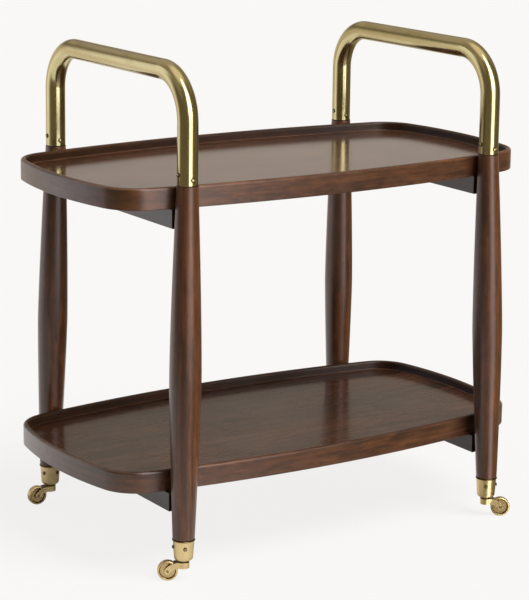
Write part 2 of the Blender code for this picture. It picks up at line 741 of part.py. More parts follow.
def make_wheel_mesh():
    """Wheel about Y with a recessed web on each face and a facet on the floor."""
    tread = WHEEL_RADIUS / math.cos(HALF_TURN / WHEEL_FACETS)
    bore = AXLE_RADIUS + RUNNING_GAP
    face = WHEEL_WIDTH / 2
    web = face - WHEEL_WEB_RECESS
    edge = WHEEL_EDGE_ROUND
    half = [
        (bore, face),
        (WHEEL_HUB_RADIUS, face),
        (WHEEL_HUB_RADIUS, web),
        (WHEEL_WEB_OUTER_RADIUS, web),
        (WHEEL_WEB_OUTER_RADIUS, face),
        (tread - edge, face),
        (tread, face - edge),
    ]
    profile = half + [(radius, -height) for radius, height in reversed(half)]
    wheel = turned_mesh(profile, WHEEL_FACETS, "wheel", closed=True)
    half_facet = Matrix.Rotation(HALF_TURN / WHEEL_FACETS, 4, "Z")
    facet_down = Matrix.Rotation(QUARTER_TURN, 4, "Z") @ half_facet
    return moved(wheel, Matrix.Rotation(QUARTER_TURN, 4, "X") @ facet_down)


def make_axle_mesh():
    reach = HORN_HALF_WIDTH + JOINT_GAP
    axle = rod_mesh(AXLE_RADIUS, -reach, reach, PIN_FACETS, "wheel_axle")
    return moved(axle, Matrix.Rotation(QUARTER_TURN, 4, "X"))


def add_trays(wood, steel):
    rim_mesh = make_rim_mesh()
    screw_mesh = make_tray_screw_mesh()
    for level, top in TRAY_TOPS.items():
        base = (0, 0, top - RIM_HEIGHT)
        add_piece(level + "_tray_rim", rim_mesh, wood, location=base)
        add_piece(level + "_tray_panel", make_panel_mesh(level), wood, location=base)
        rail_mesh = make_rail_mesh(level)
        for side, sign in SIDES.items():
            name = level + "_" + side
            place = (sign * rail_x(level), 0, rail_middle(level))
            add_piece(name + "_rail", rail_mesh, wood, location=place)
            bottom = rail_top(level) - RAIL_HEIGHT
            for end, end_sign in (("front", -1), ("back", 1)):
                place = (sign * rail_x(level), end_sign * TRAY_SCREW_SPACING / 2, bottom)
                add_piece(name + "_tray_screw_" + end, screw_mesh, steel, location=place)


def add_legs(wood):
    for corner in CORNERS:
        add_piece(corner + "_leg", make_leg_mesh(corner), wood)


def add_screw_pair(name, mesh, material, center, seat, places):
    """Two screws pointing out level from an upright axis, at (azimuth, height) places."""
    for number, (azimuth, height) in enumerate(places, 1):
        screw = add_piece(name + "_" + str(number), mesh, material)
        lift = Matrix.Translation((*center, height))
        screw.matrix_world = lift @ outward(azimuth) @ along((0, 0, 1), seat)


def add_handles(brass):
    screw_mesh = make_round_screw_mesh(
        HANDLE_SCREW_HEAD_RADIUS, HANDLE_SCREW_HEAD_HEIGHT, HANDLE_SCREW_SHANK_RADIUS,
        HANDLE_SCREW_LENGTH, "handle_screw",
    )
    for side in SIDES:
        add_piece(side + "_handle", make_handle_mesh(side), brass)
    for corner, (side_x, side_y) in CORNERS.items():
        add_screw_pair(
            corner + "_handle_screw", screw_mesh, brass, (side_x * LEG_X, side_y * LEG_Y),
            HANDLE_TUBE_RADIUS + JOINT_GAP, handle_screw_places(),
        )


def add_casters(brass):
    kingpin_mesh = make_kingpin_mesh()
    horn_mesh = make_horn_mesh()
    wheel_mesh = make_wheel_mesh()
    axle_mesh = make_axle_mesh()
    screw_mesh = make_round_screw_mesh(
        CUP_SCREW_HEAD_RADIUS, CUP_SCREW_HEAD_HEIGHT, CUP_SCREW_SHANK_RADIUS,
        CUP_SCREW_LENGTH, "cup_screw",
    )
    seat = cup_outer_radius(cup_screw_height() + CUP_SCREW_HEAD_RADIUS) + JOINT_GAP
    axle_place = (CASTER_TRAIL, 0, WHEEL_RADIUS)
    for corner, (side_x, side_y) in CORNERS.items():
        center = (side_x * CUP_X, side_y * CUP_Y)
        place = (*center, 0)
        add_piece(corner + "_caster_cup", make_drilled_cup_mesh(corner), brass, location=place)
        add_piece(corner + "_caster_kingpin", kingpin_mesh, brass, location=place)
        add_screw_pair(
            corner + "_cup_screw", screw_mesh, brass, center, seat, cup_screw_places(corner),
        )
        swivel = bpy.data.objects.new(corner + "_swivel", None)
        bpy.context.scene.collection.objects.link(swivel)
        swivel.location = place
        swivel.rotation_euler = (0, 0, CASTER_SWIVEL[corner])
        add_piece(corner + "_caster_horn", horn_mesh, brass, parent=swivel)
        add_piece(corner + "_wheel_axle", axle_mesh, brass, parent=swivel, location=axle_place)
        add_piece(corner + "_wheel", wheel_mesh, brass, parent=swivel, location=axle_place)


clear_scene()
walnut = make_material("walnut", (0.115, 0.045, 0.024), 0.32, 0.0)
polished_brass = make_material("polished_brass", (0.62, 0.50, 0.24), 0.22, 1.0)
caster_brass = make_material("caster_brass", (0.66, 0.52, 0.29), 0.34, 1.0)
screw_steel = make_material("screw_steel", (0.45, 0.43, 0.40), 0.40, 1.0)
add_trays(walnut, screw_steel)
add_legs(walnut)
add_handles(polished_brass)
add_casters(caster_brass)
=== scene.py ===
"""Looks of the serving trolley: fine surfaces, finishes, studio, light and camera.

Metres, +Z up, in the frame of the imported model: X runs along the trays and -Y is the front.
"""
import math

import bmesh
import bpy
from mathutils import Matrix, Vector


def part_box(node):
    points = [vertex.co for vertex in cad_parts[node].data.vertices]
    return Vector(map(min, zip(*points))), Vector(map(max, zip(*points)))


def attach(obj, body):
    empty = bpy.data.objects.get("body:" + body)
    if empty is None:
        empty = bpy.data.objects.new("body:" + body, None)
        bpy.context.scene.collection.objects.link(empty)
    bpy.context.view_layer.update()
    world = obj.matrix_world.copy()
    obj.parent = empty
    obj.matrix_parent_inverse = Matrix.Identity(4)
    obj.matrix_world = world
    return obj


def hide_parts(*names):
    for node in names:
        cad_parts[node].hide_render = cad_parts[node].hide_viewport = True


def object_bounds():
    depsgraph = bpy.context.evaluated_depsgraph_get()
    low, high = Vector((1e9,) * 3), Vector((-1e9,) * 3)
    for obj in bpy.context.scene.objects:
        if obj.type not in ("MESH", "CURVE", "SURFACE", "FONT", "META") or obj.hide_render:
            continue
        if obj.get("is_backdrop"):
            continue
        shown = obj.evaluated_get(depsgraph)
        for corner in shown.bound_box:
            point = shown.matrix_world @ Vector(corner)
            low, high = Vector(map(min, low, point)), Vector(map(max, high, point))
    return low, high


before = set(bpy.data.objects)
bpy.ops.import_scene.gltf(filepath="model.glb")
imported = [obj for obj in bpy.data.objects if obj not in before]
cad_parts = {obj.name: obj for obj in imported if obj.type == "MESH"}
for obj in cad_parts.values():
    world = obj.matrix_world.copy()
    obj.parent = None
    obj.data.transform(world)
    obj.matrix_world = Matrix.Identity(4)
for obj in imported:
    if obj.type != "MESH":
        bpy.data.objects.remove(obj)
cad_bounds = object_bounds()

QUARTER_TURN = math.radians(90)
HALF_TURN = math.radians(180)
FULL_TURN = math.radians(360)
SHARP_ANGLE = math.radians(38)
JOINT_GAP = 0.0003
RUNNING_GAP = 0.0004

CORNERS = {
    "front_left": (-1, -1),
    "back_left": (-1, 1),
    "front_right": (1, -1),
    "back_right": (1, 1),
}
SIDES = ("left", "right")
LEVELS = ("upper", "lower")

# Camera: the photograph is 529 by 600 pixels, and the lens's axis meets it above its middle
PHOTO_WIDTH_PX = 529
PHOTO_HEIGHT_PX = 600
FOCAL_LENGTH_PX = 2225.2
PRINCIPAL_ROW_PX = 230
CAMERA_PLACE = (-1.9843, -3.0084, 1.2235)
CAMERA_YAW = math.radians(33.263)
CAMERA_PITCH = math.radians(11.625)
CAMERA_ROLL = math.radians(0.689)
SENSOR_WIDTH_MM = 36.0

# Trays
TRAY_END_BOW_RADIUS = 0.620
TRAY_SIDE_BOW_RADIUS = 2.050
TRAY_CORNER_RADIUS = 0.067
RIM_RISE = 0.015
RIM_THICKNESS = 0.009
RIM_EDGE_ROUND = 0.0042
RIM_FOOT_ROUND = 0.0010
RIM_ROUND_STEPS = 8
RIM_COVE = 0.0022
COVE_SWEEP = math.radians(75)
BOARD_EDGE_ROUND = 0.0006

# Legs
LEG_TOP_RADIUS = 0.0166
LEG_BELLY_RADIUS = 0.0248
LEG_BELLY_HEIGHT = 0.322
LEG_ANKLE_RADIUS = 0.0172
LEG_EDGE_ROUND = 0.0014
LEG_SPIGOT_RADIUS = 0.0142
UPPER_SWELL_EXPONENT = 1.4
LOWER_SWELL_EXPONENT = 1.3

# Handles
HANDLE_TUBE_RADIUS = 0.016
HANDLE_TUBE_WALL = 0.0015
HANDLE_BEND_RADIUS = 0.072
HANDLE_FOOT_ROUND = 0.0005

RAIL_EDGE_ROUND = 0.0014
RAIL_END_EASE = 0.0004

# Casters
CUP_LIP_HEIGHT = 0.0020
CUP_LIP_ROUND = 0.0008
CUP_TOP_RADIUS = 0.0168
CUP_BASE_RADIUS = 0.0146
CUP_BOTTOM_ROUND = 0.0050
CUP_WALL = 0.0015
CUP_FLOOR = 0.0035
CUP_NECK_RADIUS = 0.0068
CUP_NECK_HEIGHT = 0.0030
CUP_NECK_FILLET = 0.0006
CUP_LIP_LEDGE = 0.0002
CUP_LIP_CREASE = 0.0004
WHEEL_WIDTH = 0.010
WHEEL_WEB_OUTER_RADIUS = 0.0128
WHEEL_HUB_RADIUS = 0.0046
WHEEL_WEB_RECESS = 0.0028
WHEEL_EDGE_ROUND = 0.0017
WHEEL_WEB_FILLET = 0.0006
AXLE_RADIUS = 0.0019
AXLE_TIP_ROUND = 0.0007
HORN_CHEEK = 0.0022
HORN_HEIGHT = 0.0095
HORN_TIP_RADIUS = 0.0050
HORN_STRAIGHT = 0.0075
HORN_BOSS_RADIUS = 0.0092
HORN_EDGE_ROUND = 0.0006
HORN_OVERRUN = 0.004
HORN_TOP_SLOPE = 0.75
WHEEL_CLEARANCE = 0.0010
KINGPIN_RADIUS = 0.0030
KINGPIN_HEAD_RADIUS = 0.0052
KINGPIN_HEAD_HEIGHT = 0.0022
KINGPIN_RIVET_RADIUS = 0.0045
KINGPIN_RIVET_HEIGHT = 0.0016

# Screws
HANDLE_SCREW_HEAD_RADIUS = 0.0036
HANDLE_SCREW_HEAD_HEIGHT = 0.0018
HANDLE_SCREW_SHANK_RADIUS = 0.0016
CUP_SCREW_HEAD_RADIUS = 0.0031
CUP_SCREW_HEAD_HEIGHT = 0.0015
CUP_SCREW_SHANK_RADIUS = 0.0014
CUP_SCREW_LENGTH = 0.008
TRAY_SCREW_HEAD_RADIUS = 0.0042
TRAY_SCREW_HEAD_HEIGHT = 0.0024
TRAY_SCREW_SHANK_RADIUS = 0.0018
TRAY_SCREW_POINT = 0.0030
SLOT_WIDTH = 0.0009
SLOT_DEPTH = 0.0008
SLOT_OVERRUN = 0.002
DOME_POWER = 0.75
DOME_STEPS = 12
DOME_DARK_STEPS = 8

# Sizes of the last ring of a turned profile, as shares of its radius or of a dome's sweep
END_SHARE = 0.1
SCREW_FACE_SHARE = 0.05
DOME_TOP_SHARE = 0.99
RIVET_SWEEP_SHARE = 0.98

# How far the slot of each screw is turned, in radians
HANDLE_SCREW_TURNS = (0.5, 1.9, 2.6, 1.2, 0.2, 2.2, 1.5, 0.9)
CUP_SCREW_TURNS = (1.1, 0.3, 2.4, 1.7, 0.7, 2.0, 1.4, 2.8)

# Fineness of the surfaces
BOW_STEPS = 20
CORNER_STEPS = 18
ROUND_STEPS = 5
LEG_FACETS = 72
LEG_STATIONS = 30
TUBE_FACETS = 64
BEND_STEPS = 28
TURNED_FACETS = 72
SCREW_FACETS = 40
HORN_STEPS = 16
CUP_BOTTOM_STEPS = 8
RIVET_STEPS = 8
SMALL_ROUND_STEPS = 4
BEVEL_SEGMENTS = 3

# Wear and painted light at a corner of a surface: above 0 wood is rubbed pale and brass is
# tarnished, above 1 brass is painted near black as shade in a crevice, and below 0 wood is glazed
# dark, partly as painted shade. The values marked below stand for painted shade and one painted
# highlight
RIM_UNDER_WEAR = 0.4
RIM_OUTER_WEAR = 0.3
# Painted shade: the rim's rounded top is glazed dark along its top edge, where shade falls
RIM_TOP_PAINTED_SHADE = -0.6
# Painted shade: the rim's inner walls are glazed dark, partly stain in the corners and partly the
# shade that falls there
RIM_INNER_GLAZE_AND_SHADE = -0.75
# Painted highlight: a pale line along the foot of the cove, partly a rubbed edge
COVE_FOOT_WEAR_AND_HIGHLIGHT = 1.4
LEG_FOOT_WEAR = 0.5
# Painted shade: the leg's top shoulder is glazed dark for the shadow in the joint under the brass
# foot
LEG_SHOULDER_PAINTED_SHADE = -0.9
TUBE_FOOT_WEAR = 0.5
# Painted shade: a near-black ring round the edge of each screw head, for the shade and dark
# reflection there
SCREW_EDGE_PAINTED_SHADE = 1.95
# Painted shade: the cup's lip, its underside and its neck are painted near black, where the cup
# meets the leg and the horn
CUP_LIP_PAINTED_SHADE = 1.5
CUP_LIP_UNDER_PAINTED_SHADE = 1.7
CUP_NECK_PAINTED_SHADE = 1.6
# Painted shade: the horn's upward faces are painted near black, as the shadow under the cup
HORN_TOP_PAINTED_SHADE = 1.75
WHEEL_HUB_WEAR = 0.2
WHEEL_EDGE_WEAR = 0.3
# Painted shade: the fillets at the feet of the wheel's hub and rim are painted near black, as shade
# in a recess
WHEEL_HUB_FOOT_PAINTED_SHADE = 1.3
WHEEL_WEB_WEAR = 0.45
WHEEL_RIM_FOOT_PAINTED_SHADE = 1.8
WHEEL_FACE_WEAR = 0.1

# Lamps: azimuth, elevation, strength, softness and colour, with angles in degrees
LAMPS = {
    "key_light": (124, 60, 2.75, 35, (1.0, 0.985, 0.96)),
    "front_light": (114, 8, 1.65, 35, (1.0, 0.98, 0.95)),
    "left_light": (-80, 22, 0.5, 60, (0.98, 0.99, 1.0)),
}

# Studio that only gloss shows: patches of light as left, right, bottom, top, softness of the
# edges, all in degrees, and level. Azimuths run clockwise from the way the camera looks
WALLS = {
    "pale_walls": (-76, 26, -30, 11, 8, 0.50),
    "low_walls": (-80, 30, -95, -20, 8, 0.18),
    "backdrop": (-38, 22, -3, 11, 5, 0.19),
    "left_wall": (-72, -22, -30, 2, 8, 0.22),
    "ceiling": (-150, 75, 26, 95, 6, 0.20),
    "ceiling_edge": (-60, 12, 25, 60, 5, 0.17),
    "overhead": (-190, 190, 62, 95, 8, 0.90),
}
SKY = {"above_backdrop": (-70, 40, 10, 30, 5, 0.05)}
SOFT_BOXES = {
    "tall_soft_box": (126, 160, -95, 78, 5, 3.4),
    "soft_box_top": (122, 165, 6, 78, 5, 2.4),
}
WALL_TINT = (1.0, 0.90, 0.85)
SKY_TINT = (0.90, 0.88, 1.20)
BOX_TINT = (0.98, 1.0, 1.05)
DARK_ROOM = (1.0, 0.85, 0.56)
DARK_ROOM_LEVEL = 0.21

# What the camera sees behind the trolley, and the even light on what isn't glossy
PALE = (0.947, 0.939, 0.923)
EVEN_TINT = (0.98, 0.99, 1.0)
EVEN_LEVEL = 0.20

# Floor: in gloss it only shows in discs, each whole up to one distance from its centre and
# gone past another, and less towards the front, and dimmed near the trolley by a painted shadow
FLOOR_HALF = 60.0
FLOOR_GLOW = 0.892
FLOOR_GLOSS_GLOW = 1.15
FLOOR_FRONT = (-1.0, -0.55, 0.3, 1.0)
FLOOR_PAPER = 0.10
GLOSS_DISCS = (((-0.75, 0.40, 0), 0.92, 1.28), ((-0.50, -1.35, 0), 0.6, 1.0))
PAINTED_SHADOW_CENTER = (-0.20, 0.10, 0)
PAINTED_SHADOW_REACH = (0.14, 0.44, 0.22, 1.0)

# Card left of the trolley, which fades in from its front to its back
CARD_CORNERS = ((-1.10, -0.40), (-1.20, 1.70))
CARD_HEIGHT = 1.55
CARD_FADE = (0.12, 0.80)
CARD_LEVEL = 1.38
CARD_TINT = (1.0, 1.0, 1.06)

# Patterns of wood and metal: repeats to a metre along the grain and across it, detail and
# roughness. A range is followed by what it gives at both ends, unless that is 0 and 1
WOOD_BEND = (2.2, 7.0, 1.0, 0.5)
WOOD_WANDER = 0.055
WOOD_PATTERNS = {
    "figure": (2.6, 20.0, 3.0, 0.55),
    "streak": (3.4, 190.0, 5.0, 0.62),
    "patch": (38.0, 95.0, 2.0, 0.6),
    "fibre": (55.0, 2300.0, 2.0, 0.6),
    "pore": (75.0, 1500.0, 1.0, 0.5),
    "smudge": (9.0, 9.0, 3.0, 0.5),
}
PLANK_SHIFT = (3.0, 0.4, 0.4)
PLANK_SHADES = (0.0, 1.0, 0.84, 1.16)
FIGURE_RANGE = (0.32, 0.68)
STREAK_LIGHTS = (0.42, 0.72, 0.0, 0.75)
STREAK_DARKS = (0.44, 0.28, 0.0, 0.5)
PATCH_RANGE = (0.35, 0.68)
FIBRE_SHADES = (0.3, 0.7, 0.93, 1.07)
FIBRE_HEIGHT = 0.35
PORE_RANGE = (0.60, 0.72)
PORE_DARKNESS = 0.55
PORE_ROUGHNESS = 0.15
PORE_COLOR = (0.016, 0.008, 0.006)
RUBBED_AND_HIGHLIGHT_RANGE = (0.34, 0.66, 0.1, 0.75)
RUBBED_AND_HIGHLIGHT_COLOR = (0.17, 0.078, 0.040)
GLAZE_AND_SHADE_COLOR = (0.010, 0.005, 0.003)
GLAZE_AND_SHADE_DULLNESS = 0.8
WOOD_ROUGHNESS = (0.3, 0.7, 0.40, 0.52)
WOOD_SPECULAR = 0.12
LACQUER = 0.95
GRAIN_BUMP = (0.35, 0.00012)
RIPPLE_BUMP = (0.06, 0.002)

BRUSHED_LINES = (26.0, 5200.0, 3.0, 0.6)
CAST_GRAIN = (1900.0, 1900.0, 2.0, 0.5)
CAST_PITS = (520.0, 520.0, 3.0, 0.5)
PIT_HEIGHT = 0.8
METAL_SMUDGES = (14.0, 38.0, 3.0, 0.6)
STAIN_RANGE = (0.45, 0.75)
STAIN_DARKNESS = 0.35
STAIN_ROUGHNESS = 0.05
LINE_STAINS = (0.3, 0.7, 0.0, 0.12)
LINE_RANGE = (0.25, 0.75)
TARNISH_AND_SHADE_SHARE = 0.8
CREVICE_SHADE_COLOR = (0.022, 0.013, 0.007)
METAL_BUMP = (0.10, 0.00008)

# Woods: dark, middle and light stain, mottling, roughness of the lacquer, width of a plank
WOODS = {
    # The board's walnut is darker than the rim's, partly as painted shade on the tray floors
    "walnut_board_darkened_for_shade": (
        (0.017, 0.005, 0.002), (0.050, 0.016, 0.006), (0.112, 0.038, 0.013), 0.18, 0.14, 0.088,
    ),
    "walnut_rim": (
        (0.034, 0.012, 0.005), (0.094, 0.034, 0.013), (0.165, 0.058, 0.020), 0.18, 0.31,
    ),
    "walnut_turned": (
        (0.056, 0.020, 0.008), (0.122, 0.043, 0.016), (0.200, 0.069, 0.024), 0.17, 0.32,
    ),
    "walnut_rail": (
        (0.020, 0.010, 0.006), (0.050, 0.024, 0.014), (0.085, 0.040, 0.022), 0.10, 0.35,
    ),
}

# Metals: colour, tarnish, least and most roughness, and whether lines run along the grain
METALS = {
    "polished_brass": ((0.50, 0.433, 0.222), (0.27, 0.20, 0.07), 0.14, 0.22, True),
    "caster_brass": ((0.64, 0.49, 0.250), (0.28, 0.175, 0.06), 0.26, 0.40, False),
    "dark_brass": ((0.30, 0.22, 0.12), (0.09, 0.055, 0.03), 0.30, 0.44, False),
    "screw_steel": ((0.45, 0.43, 0.40), (0.18, 0.16, 0.14), 0.30, 0.44, False),
}


def middle(node):
    """Centre of a node's box."""
    low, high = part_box(node)
    return (low + high) / 2


def arc(center, radius, start, end, steps):
    """Points of an arc in a plane, both ends included."""
    angles = [start + (end - start) * i / steps for i in range(steps + 1)]
    return [(center[0] + radius * math.cos(a), center[1] + radius * math.sin(a)) for a in angles]


def circle(radius, facets, center=(0, 0)):
    return arc(center, radius, 0, FULL_TURN, facets)[:-1]


def with_wear_and_shade(points, wear_and_shade):
    """Corners of a section with the wear and painted shade value they all get."""
    return [(across, up, wear_and_shade) for across, up in points]


def skin(points, name, grain=None, wear_and_shade=None, close_rows=False):
    """Skin over rows of points, closed round each row.

    grain(row, column, point) places a corner in the wood or metal, as along, across and depth,
    and wear_and_shade(row, column) gives its wear and painted shade. Both get one more row or
    column where the surface closes on itself, so that patterns meet at a joint and never smear.
    """
    bm = bmesh.new()
    grain_layer = bm.loops.layers.float_vector.new("grain")
    wear_and_shade_layer = bm.loops.layers.float.new("wear_and_shade")
    rows = [[bm.verts.new(point) for point in row] for row in points]
    count = len(rows[0])
    last = len(rows) if close_rows else len(rows) - 1

    def add_face(corners):
        face = bm.faces.new([rows[r % len(rows)][c % count] for r, c in corners])
        for loop, (r, c) in zip(face.loops, corners):
            point = loop.vert.co
            loop[grain_layer] = grain(r, c, point) if grain else point
            loop[wear_and_shade_layer] = wear_and_shade(r, c) if wear_and_shade else 0.0

    for r in range(last):
        for c in range(count):
            add_face([(r, c), (r, c + 1), (r + 1, c + 1), (r + 1, c)])
    if not close_rows:
        add_face([(0, c) for c in range(count)])
        add_face([(len(rows) - 1, c) for c in range(count)])
    bmesh.ops.recalc_face_normals(bm, faces=bm.faces[:])
    mesh = bpy.data.meshes.new(name)
    bm.to_mesh(mesh)
    bm.free()
    return smoothed(mesh)


def smoothed(mesh):
    mesh.shade_smooth()
    mesh.set_sharp_from_angle(angle=SHARP_ANGLE)
    return mesh


def turned(profile, facets, name, closed=False):
    """A profile of (radius, height, wear) corners spun round Z."""
    rows = [[(x, y, height) for x, y in circle(radius, facets)] for radius, height, wear_and_shade in profile]
    return skin(
        rows, name, wear_and_shade=lambda row, column: profile[row % len(profile)][2], close_rows=closed
    )


def new_object(name, data):
    """An object of the scene that shows a mesh, a lamp or a camera."""
    item = bpy.data.objects.new(name, data)
    bpy.context.scene.collection.objects.link(item)
    return item


def moved(mesh, matrix):
    copy = mesh.copy()
    copy.transform(matrix)
    return copy


def combined(mesh, tools, operation, name):
    """Combine a mesh with each tool mesh in turn."""
    body = new_object(name, mesh)
    helpers = []
    for tool in tools:
        helpers.append(new_object(name + "_tool", tool))
        modifier = body.modifiers.new("cut", "BOOLEAN")
        modifier.operation = operation
        modifier.solver = "EXACT"
        modifier.object = helpers[-1]
    graph = bpy.context.evaluated_depsgraph_get()
    result = bpy.data.meshes.new_from_object(body.evaluated_get(graph))
    for item in [body] + helpers:
        bpy.data.objects.remove(item, do_unlink=True)
    result.name = name
    return smoothed(result)


def outward(azimuth):
    """Turns +Z to point out level at an azimuth."""
    return Matrix.Rotation(azimuth, 4, "Z") @ Matrix.Rotation(QUARTER_TURN, 4, "Y")


def add_piece(node, mesh, material, body):
    """Shows a mesh in place of one node of the model."""
    mesh.materials.clear()
    mesh.materials.append(material)
    piece = new_object(node + "_surface", mesh)
    flats = piece.modifiers.new("true_flats", "WEIGHTED_NORMAL")
    flats.keep_sharp = True
    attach(piece, body)
    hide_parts(node)
    return piece


def feed(tree, node, inputs):
    """Sets a node's inputs, or links them to sockets, by name or number."""
    for key, value in inputs.items():
        if isinstance(value, bpy.types.NodeSocket):
            tree.links.new(value, node.inputs[key])
        else:
            node.inputs[key].default_value = value


def add_node(tree, kind, inputs=(), **settings):
    """A shader node with its settings and inputs."""
    node = tree.nodes.new(kind)
    for key, value in settings.items():
        setattr(node, key, value)
    feed(tree, node, dict(inputs))
    return node


def stored(tree, name, output):
    """What the skin keeps at each corner: its place in the grain, or its wear and painted shade."""
    return add_node(tree, "ShaderNodeAttribute", attribute_name=name).outputs[output]


def calc(tree, operation, *values):
    """A number worked out from numbers or sockets."""
    return add_node(tree, "ShaderNodeMath", dict(enumerate(values)), operation=operation).outputs[0]


def times(tree, first, second):
    return calc(tree, "MULTIPLY", first, second)


def vector_calc(tree, operation, first, second, output="Vector"):
    """A vector, or a distance, worked out from two vectors."""
    node = add_node(tree, "ShaderNodeVectorMath", {0: first, 1: second}, operation=operation)
    return node.outputs[output]


def noise(tree, place, along, across, detail, roughness, output="Fac"):
    """Noise with its repeats to a metre along the grain and across it."""
    scaled = vector_calc(tree, "MULTIPLY", place, (along, across, across))
    values = {"Vector": scaled, "Scale": 1.0, "Detail": detail, "Roughness": roughness}
    return add_node(tree, "ShaderNodeTexNoise", values).outputs[output]


def spread(tree, value, low, high, new_low=0.0, new_high=1.0):
    """A number moved smoothly from one range to another."""
    node = add_node(
        tree, "ShaderNodeMapRange",
        {"Value": value, "From Min": low, "From Max": high, "To Min": new_low, "To Max": new_high},
        interpolation_type="SMOOTHSTEP",
    )
    return node.outputs["Result"]


def blended(tree, amount, first, second, mode="MIX"):
    """Two colours mixed by an amount."""
    node = add_node(tree, "ShaderNodeMix", data_type="RGBA", blend_type=mode)
    colors = [
        value if isinstance(value, bpy.types.NodeSocket) else (*value, 1.0)
        for value in (first, second)
    ]
    feed(tree, node, {0: amount, 6: colors[0], 7: colors[1]})
    return node.outputs[2]


def bump(tree, height, strength, distance):
    """A normal tilted by a height, which stands for a distance in metres."""
    values = {"Height": height, "Strength": strength, "Distance": distance}
    return add_node(tree, "ShaderNodeBump", values).outputs[0]


def mixed(tree, amount, first, second):
    """Two shaders mixed by an amount."""
    return add_node(tree, "ShaderNodeMixShader", {0: amount, 1: first, 2: second}).outputs[0]


def glow(tree, kind, color, strength):
    """Light of one colour that a surface or the world gives off."""
    return add_node(tree, kind, {"Color": (*color, 1.0), "Strength": strength}).outputs[0]


def new_material(name):
    material = bpy.data.materials.new(name)
    material.use_nodes = True
    tree = material.node_tree
    return material, tree, tree.nodes["Principled BSDF"]


def plank_places(tree, place, width):
    """The grain cut into planks from different places, and a random number for each plank."""
    parts = add_node(tree, "ShaderNodeSeparateXYZ", {0: place})
    number = calc(tree, "FLOOR", calc(tree, "DIVIDE", parts.outputs[1], width))
    luck = add_node(tree, "ShaderNodeTexWhiteNoise", {"W": number}, noise_dimensions="1D")
    shift = vector_calc(tree, "MULTIPLY", luck.outputs["Color"], PLANK_SHIFT)
    return vector_calc(tree, "ADD", place, shift), luck.outputs["Value"]


def make_wood(name, dark, middle_tone, light, mottle, coat_roughness, plank_width=None):
    """Stained and lacquered walnut: figure, streaks, pores and rubbed edges along the grain, with
    glazed corners that are partly painted shade and a pale cove line that is partly a painted
    highlight.
    """
    material, tree, shader = new_material(name)
    place = stored(tree, "grain", "Vector")
    if plank_width:
        place, plank = plank_places(tree, place, plank_width)
    bend = noise(tree, place, *WOOD_BEND, output="Color")
    wander = vector_calc(tree, "MULTIPLY", bend, (0.0, WOOD_WANDER, WOOD_WANDER))
    place = vector_calc(tree, "ADD", place, wander)
    pattern = {key: noise(tree, place, *values) for key, values in WOOD_PATTERNS.items()}
    pore = spread(tree, pattern["pore"], *PORE_RANGE)

    color = blended(tree, spread(tree, pattern["figure"], *FIGURE_RANGE), dark, middle_tone)
    color = blended(tree, spread(tree, pattern["streak"], *STREAK_LIGHTS), color, light)
    color = blended(tree, spread(tree, pattern["streak"], *STREAK_DARKS), color, dark)
    shade = spread(tree, pattern["patch"], *PATCH_RANGE, 1.0 - mottle, 1.0 + mottle)
    if plank_width:
        shade = times(tree, shade, spread(tree, plank, *PLANK_SHADES))
    shade = times(tree, shade, spread(tree, pattern["fibre"], *FIBRE_SHADES))
    gray = add_node(tree, "ShaderNodeCombineColor", {0: shade, 1: shade, 2: shade}).outputs[0]
    color = blended(tree, 1.0, color, gray, "MULTIPLY")
    color = blended(tree, times(tree, pore, PORE_DARKNESS), color, PORE_COLOR)
    wear_and_shade = stored(tree, "wear_and_shade", "Fac")
    patchy = spread(tree, pattern["patch"], *RUBBED_AND_HIGHLIGHT_RANGE)
    # Paler where the value is above 0: rubbed edges, and at the foot of the cove a painted
    # highlight
    pale = times(tree, calc(tree, "MAXIMUM", wear_and_shade, 0.0), patchy)
    color = blended(tree, pale, color, RUBBED_AND_HIGHLIGHT_COLOR)
    # Darker where the value is below 0: partly a glaze, partly painted shade; the lacquer is
    # thinner there
    glaze_and_shade = calc(tree, "MAXIMUM", times(tree, wear_and_shade, -1.0), 0.0)
    color = blended(tree, glaze_and_shade, color, GLAZE_AND_SHADE_COLOR)

    smooth = spread(tree, pattern["smudge"], *WOOD_ROUGHNESS)
    height = calc(tree, "SUBTRACT", times(tree, pattern["fibre"], FIBRE_HEIGHT), pore)
    thinned = calc(tree, "SUBTRACT", 1.0, times(tree, glaze_and_shade, GLAZE_AND_SHADE_DULLNESS))
    shader.inputs["Coat Weight"].default_value = LACQUER
    feed(tree, shader, {
        "Base Color": color,
        "Roughness": calc(tree, "ADD", smooth, times(tree, pore, PORE_ROUGHNESS)),
        "Normal": bump(tree, height, *GRAIN_BUMP),
        "Specular IOR Level": WOOD_SPECULAR,
        "Coat Weight": times(tree, thinned, LACQUER),
        "Coat Roughness": coat_roughness,
        "Coat Normal": bump(tree, pattern["smudge"], *RIPPLE_BUMP),
    })
    return material


